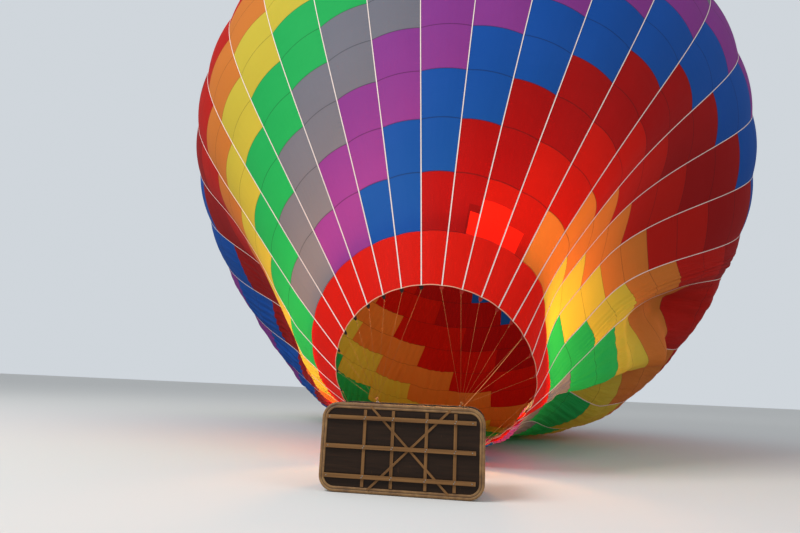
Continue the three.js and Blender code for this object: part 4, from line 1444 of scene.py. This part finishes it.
# A link ring's long way follows the pull, and it lies across the plate's hole.
def addLinkRing(corner):
    s = linkRing
    path = []
    for k in range(s["steps"]):
        turn = math.tau * (k + 0.5) / s["steps"]
        x = math.copysign(s["half"], math.cos(turn)) + s["radius"] * math.cos(turn)
        path.append(Vector((x, 0, s["radius"] * math.sin(turn))))
    sleeve = [Vector((x, 0, s["radius"])) for x in (-s["sleeveHalf"], s["sleeveHalf"])]
    parts = [tubePart(path, s["tube"], 14, closed=True), tubePart(sleeve, s["sleeveRadius"], 6)]
    ring = movedPart(joinParts(parts), cornerBasis(corner, s["at"]) @ toZ)
    addPiece(f"linkRing{corner + 1}", ring, [frameSteel], "balloon", "frame_steel", f"karabiner_{corner + 1}",
             sharp=40)


def addGimbal():
    g = gimbalShape
    pinWide, soft = g["pin"], g["soft"]
    half = (loadFrame["halfX"] - loadFrame["tube"] - g["washerThick"] - g["halfX"]) / 2
    pin = turnedPart([
        (0.0, -half), (pinWide, -half), (pinWide, half - soft), (pinWide - soft, half), (0.0, half)], 24)
    washer = bossPart(g["washerRadius"], pinWide, g["washerThick"])
    boss = bossPart(g["bossRadius"], g["bore"], g["bossLong"])
    parts = [loopPipe(g, burnerPlace)]
    for side, way in ((1, toX), (-1, toX.inverted())):
        pinAt, washerAt = g["halfX"] + half, g["halfX"] + g["tube"] + g["washerThick"]
        bossAt = g["halfZ"] - g["tube"] - g["bossInset"]
        parts.append(movedPart(pin, burnerPlace @ Matrix.Translation((side * pinAt, 0, 0)) @ way))
        parts.append(movedPart(washer, burnerPlace @ Matrix.Translation((side * washerAt, 0, 0)) @ way))
        parts.append(movedPart(boss, burnerPlace @ Matrix.Translation((0, 0, side * bossAt)) @ toZ))
    addPiece("gimbalTube", joinParts(parts), [frameSteel], "gimbal", "frame_steel", "gimbal_frame", sharp=40)


addLoadFrame()
for corner in range(len(cornerSigns)):
    addLinkRing(corner)
addGimbal()


def paintedMetal(name, colour):
    bench = NodeBench(name)
    peel = bench.noise(180.0, 3.0, 0.6)
    chips = bench.noise(26.0, 5.0, 0.75)
    tone = bench.mixColour(bench.math("GREATER_THAN", chips, 0.70), colour, (0.33, 0.32, 0.31))
    rough = bench.plus(bench.times(chips, 0.3), 0.25)
    return bench.finish(colour=tone, roughness=rough, normal=bench.bump(peel, 0.15, 0.0006), coat=0.2)


burnerPaint = paintedMetal("burnerPaint", (0.035, 0.036, 0.040))

burnerShape = {
    "canOffset": 0.165, "canRadius": 0.130, "canLength": 0.330, "gap": 0.0007,
    "canFoot": [(0.020, 0), (0.094, 0), (0.098, 0.0037), (0.117, 0.052), (0.130, 0.102)],
    "canInside": [(0.1275, 0.3273), (0.1272, 0.103), (0.1145, 0.0535), (0.0945, 0.0035), (0.020, 0.0025)],
    "beads": (0.135, 0.295), "beadHalf": 0.008, "beadTop": 0.003,
    "coilTurns": 5, "coilSteps": 28, "coilRadius": 0.008, "coilStart": (0.086, 0.084), "coilWiden": 0.029,
    "coilPitch": 0.044,
    "feed": [(0.086, 0.084, 0), (0.080, 0.050, -0.006), (0.060, 0.020, -0.006), (0.050, 0.004, -0.006)],
    "feedRadius": 0.0078,
    "jets": [(0.0, 0.003), (0.034, 0.003), (0.038, 0.008), (0.038, 0.026), (0.033, 0.030), (0.012, 0.032),
             (0.012, 0.052), (0.0, 0.054)],
    "bars": [((0.040, 0.030, 0.600), (0, 0, 0)), ((0.620, 0.014, 0.090), (0, -0.008, 0))],
    "mount": (0.044, 0.030, 0.060), "mountAt": -0.030,
    "boltHead": [(0.0, 0.006), (0.006, 0.006), (0.0075, 0.0045), (0.0075, 0.0), (0.0, 0.0)],
    "boltAt": (0.115, -0.001, 0.03),
    "valve": [
        ((0.070, 0.046, 0.050), (0, -0.0684, 0)),
        ((0.018, 0.016, 0.150), (0, -0.072, -0.060)),
        ((0.030, 0.012, 0.040), (0, -0.0795, -0.115)),
    ],
    "spout": [(0.0, 0.0), (0.011, 0.0), (0.011, 0.012), (0.014, 0.014), (0.014, 0.026), (0.009, 0.028),
              (0.009, 0.040), (0.0, 0.040)],
    "spoutAt": (0.035, -0.0684),
    "dial": [(0.0, 0.0), (0.019, 0.0), (0.021, 0.003), (0.021, 0.011), (0.018, 0.013), (0.0, 0.013)],
    "dialAt": (-0.0914, 0.010),
}


def addBurnerFrame():
    b, pin, soft = burnerShape, gimbalShape["pin"], gimbalShape["soft"]
    half = gimbalShape["halfZ"] - gimbalShape["tube"] - 0.004
    cross = turnedPart([
        (0.0, -half), (pin - soft, -half), (pin, -half + soft), (pin, half - soft), (pin - soft, half),
        (0.0, half)], 24)
    parts = [movedPart(cross, toZ)] + [blockPart(size, at) for size, at in b["bars"]]
    parts += [blockPart(b["mount"], (side * b["canOffset"], b["mountAt"], 0)) for side in (1, -1)]
    piece = addPiece("burnerBars", movedPart(joinParts(parts), burnerPlace), [burnerPaint], "burner",
                     "burner_paint", "burner_frame", smooth=False)
    softenEdges(piece, 0.0025)
    head = turnedPart(b["boltHead"], 6)
    x, y, z = b["boltAt"]
    spots = [(side * b["canOffset"] + dx, y, dz) for side in (1, -1) for dx in (x, -x) for dz in (z, -z)]
    bolts = [movedPart(head, burnerPlace @ Matrix.Translation(spot)) for spot in spots]
    addPiece("burnerBolts", joinParts(bolts), [boltSteel], "burner", "frame_steel", smooth=False)


# The can is open at both ends, with two rolled beads and a turned rim.
def canPart():
    b = burnerShape
    radius, half, tall = b["canRadius"], b["beadHalf"], b["beadTop"]
    outline = [(wide, y - b["gap"]) for wide, y in b["canFoot"]]
    for bead in b["beads"]:
        outline += [(radius, bead - half), (radius + tall, bead - tall)]
        outline += [(radius + tall, bead + tall), (radius, bead + half)]
    top = b["canLength"] - b["gap"]
    outline += [(radius, top - 0.006), (radius + 0.0025, top - 0.003), (radius, top)]
    return turnedPart(outline + b["canInside"], 64, closed=True)


# The coil widens as it climbs, and a feed pipe and the jets stand below it.
def coilParts(place):
    b = burnerShape
    wide, high = b["coilStart"]
    steps = b["coilTurns"] * b["coilSteps"]
    path = []
    for k in range(steps + 1):
        turns = k / b["coilSteps"]
        radius = wide + b["coilWiden"] * k / steps
        across, along = radius * math.cos(math.tau * turns), radius * math.sin(math.tau * turns)
        path.append(place @ Vector((across, high + b["coilPitch"] * turns, along)))
    feed = [place @ Vector(p) for p in b["feed"]]
    jets = movedPart(turnedPart(b["jets"]), place)
    return [tubePart(path, b["coilRadius"], 12), tubePart(feed, b["feedRadius"], 12), jets]


def addBurner(name, side):
    b = burnerShape
    place = burnerPlace @ Matrix.Translation((side * b["canOffset"], 0, 0))
    node = name.lower()
    addPiece(f"burnerCan{name}", movedPart(canPart(), place), [scorchedSteel], "burner", "can_steel",
             f"burner_can_{node}", sharp=38)
    addPiece(f"burnerCoil{name}", joinParts(coilParts(place)), [canSteel], "burner", "can_steel",
             f"burner_coil_{node}", sharp=40)
    blocks = joinParts([blockPart(size, at) for size, at in b["valve"]])
    valve = addPiece(f"burnerValve{name}", movedPart(blocks, place), [valveBrass], "burner", "valve_brass",
                     f"burner_valve_{node}", smooth=False)
    softenEdges(valve, 0.003, 3)
    spoutX, spoutY = b["spoutAt"]
    dialY, dialZ = b["dialAt"]
    way = toX if side > 0 else toX.inverted()
    spout = movedPart(turnedPart(b["spout"], 6), Matrix.Translation((side * spoutX, spoutY, 0)) @ way)
    dial = movedPart(turnedPart(b["dial"], 28), Matrix.Translation((0, dialY, dialZ)) @ toZ @ toZ)
    addPiece(f"burnerFittings{name}", movedPart(joinParts([spout, dial]), place), [valveBrass], "burner",
             "valve_brass", smooth=False)


addBurnerFrame()
addBurner("Left", -1)
addBurner("Right", 1)
print("frame and burner made")

# Stage and light

stageLook = {"floor": (0.62, 0.61, 0.59), "sky": (0.74, 0.79, 0.84), "skyStrength": 0.85, "half": 600}


def addStage():
    bench, half = NodeBench("paleFloor"), stageLook["half"]
    worn = tuple(0.97 * c for c in stageLook["floor"])
    colour = bench.mixColour(bench.noise(0.05, 2.0, 0.5), worn, stageLook["floor"])
    paleFloor = bench.finish(colour=colour, roughness=0.9, specular=0.1)
    corners = [(x * half, y * half, groundHeight) for x, y in ((-1, -1), (1, -1), (1, 1), (-1, 1))]
    meshPiece("studioFloor", (corners, [(0, 1, 2, 3)]), [paleFloor], smooth=False)
    world = bpy.data.worlds.new("studioWorld")
    world.use_nodes = True
    background = world.node_tree.nodes["Background"]
    background.inputs[0].default_value = (*stageLook["sky"], 1)
    background.inputs[1].default_value = stageLook["skyStrength"]
    bpy.context.scene.world = world
    bpy.context.scene.view_settings.view_transform = "Standard"


def addLamp(name, kind, at, size, power, colour=(1, 1, 1), aim=(0, 0, 0)):
    data = bpy.data.lights.new(name, kind)
    if kind == "AREA":
        data.size = size
    else:
        data.shadow_soft_size = size
    data.energy = power
    data.color = colour
    light = bpy.data.objects.new(name, data)
    bpy.context.scene.collection.objects.link(light)
    light.location = at
    light.rotation_euler = (Vector(aim) - Vector(at)).to_track_quat("-Z", "Y").to_euler()


# Two soft tungsten lamps, about 2700 K, light the cloth from inside: one its floor, one its top.
tungsten = (1.0, 0.40, 0.10)

addStage()
addLamp("keyLight", "AREA", (-22, -30, 22), 18, 14000)
addLamp("fillLight", "AREA", (26, -26, 10), 16, 1500, aim=(0, -2, -2))
addLamp("innerFloorLight", "AREA", axisWay * (mouthHeight + 0.7), 1.6, 1700, tungsten, aim=(0, 0, -2))
addLamp("innerTopLight", "POINT", axisWay * (mouthHeight + 3.4), 0.9, 650, tungsten)
print("stage and light set")
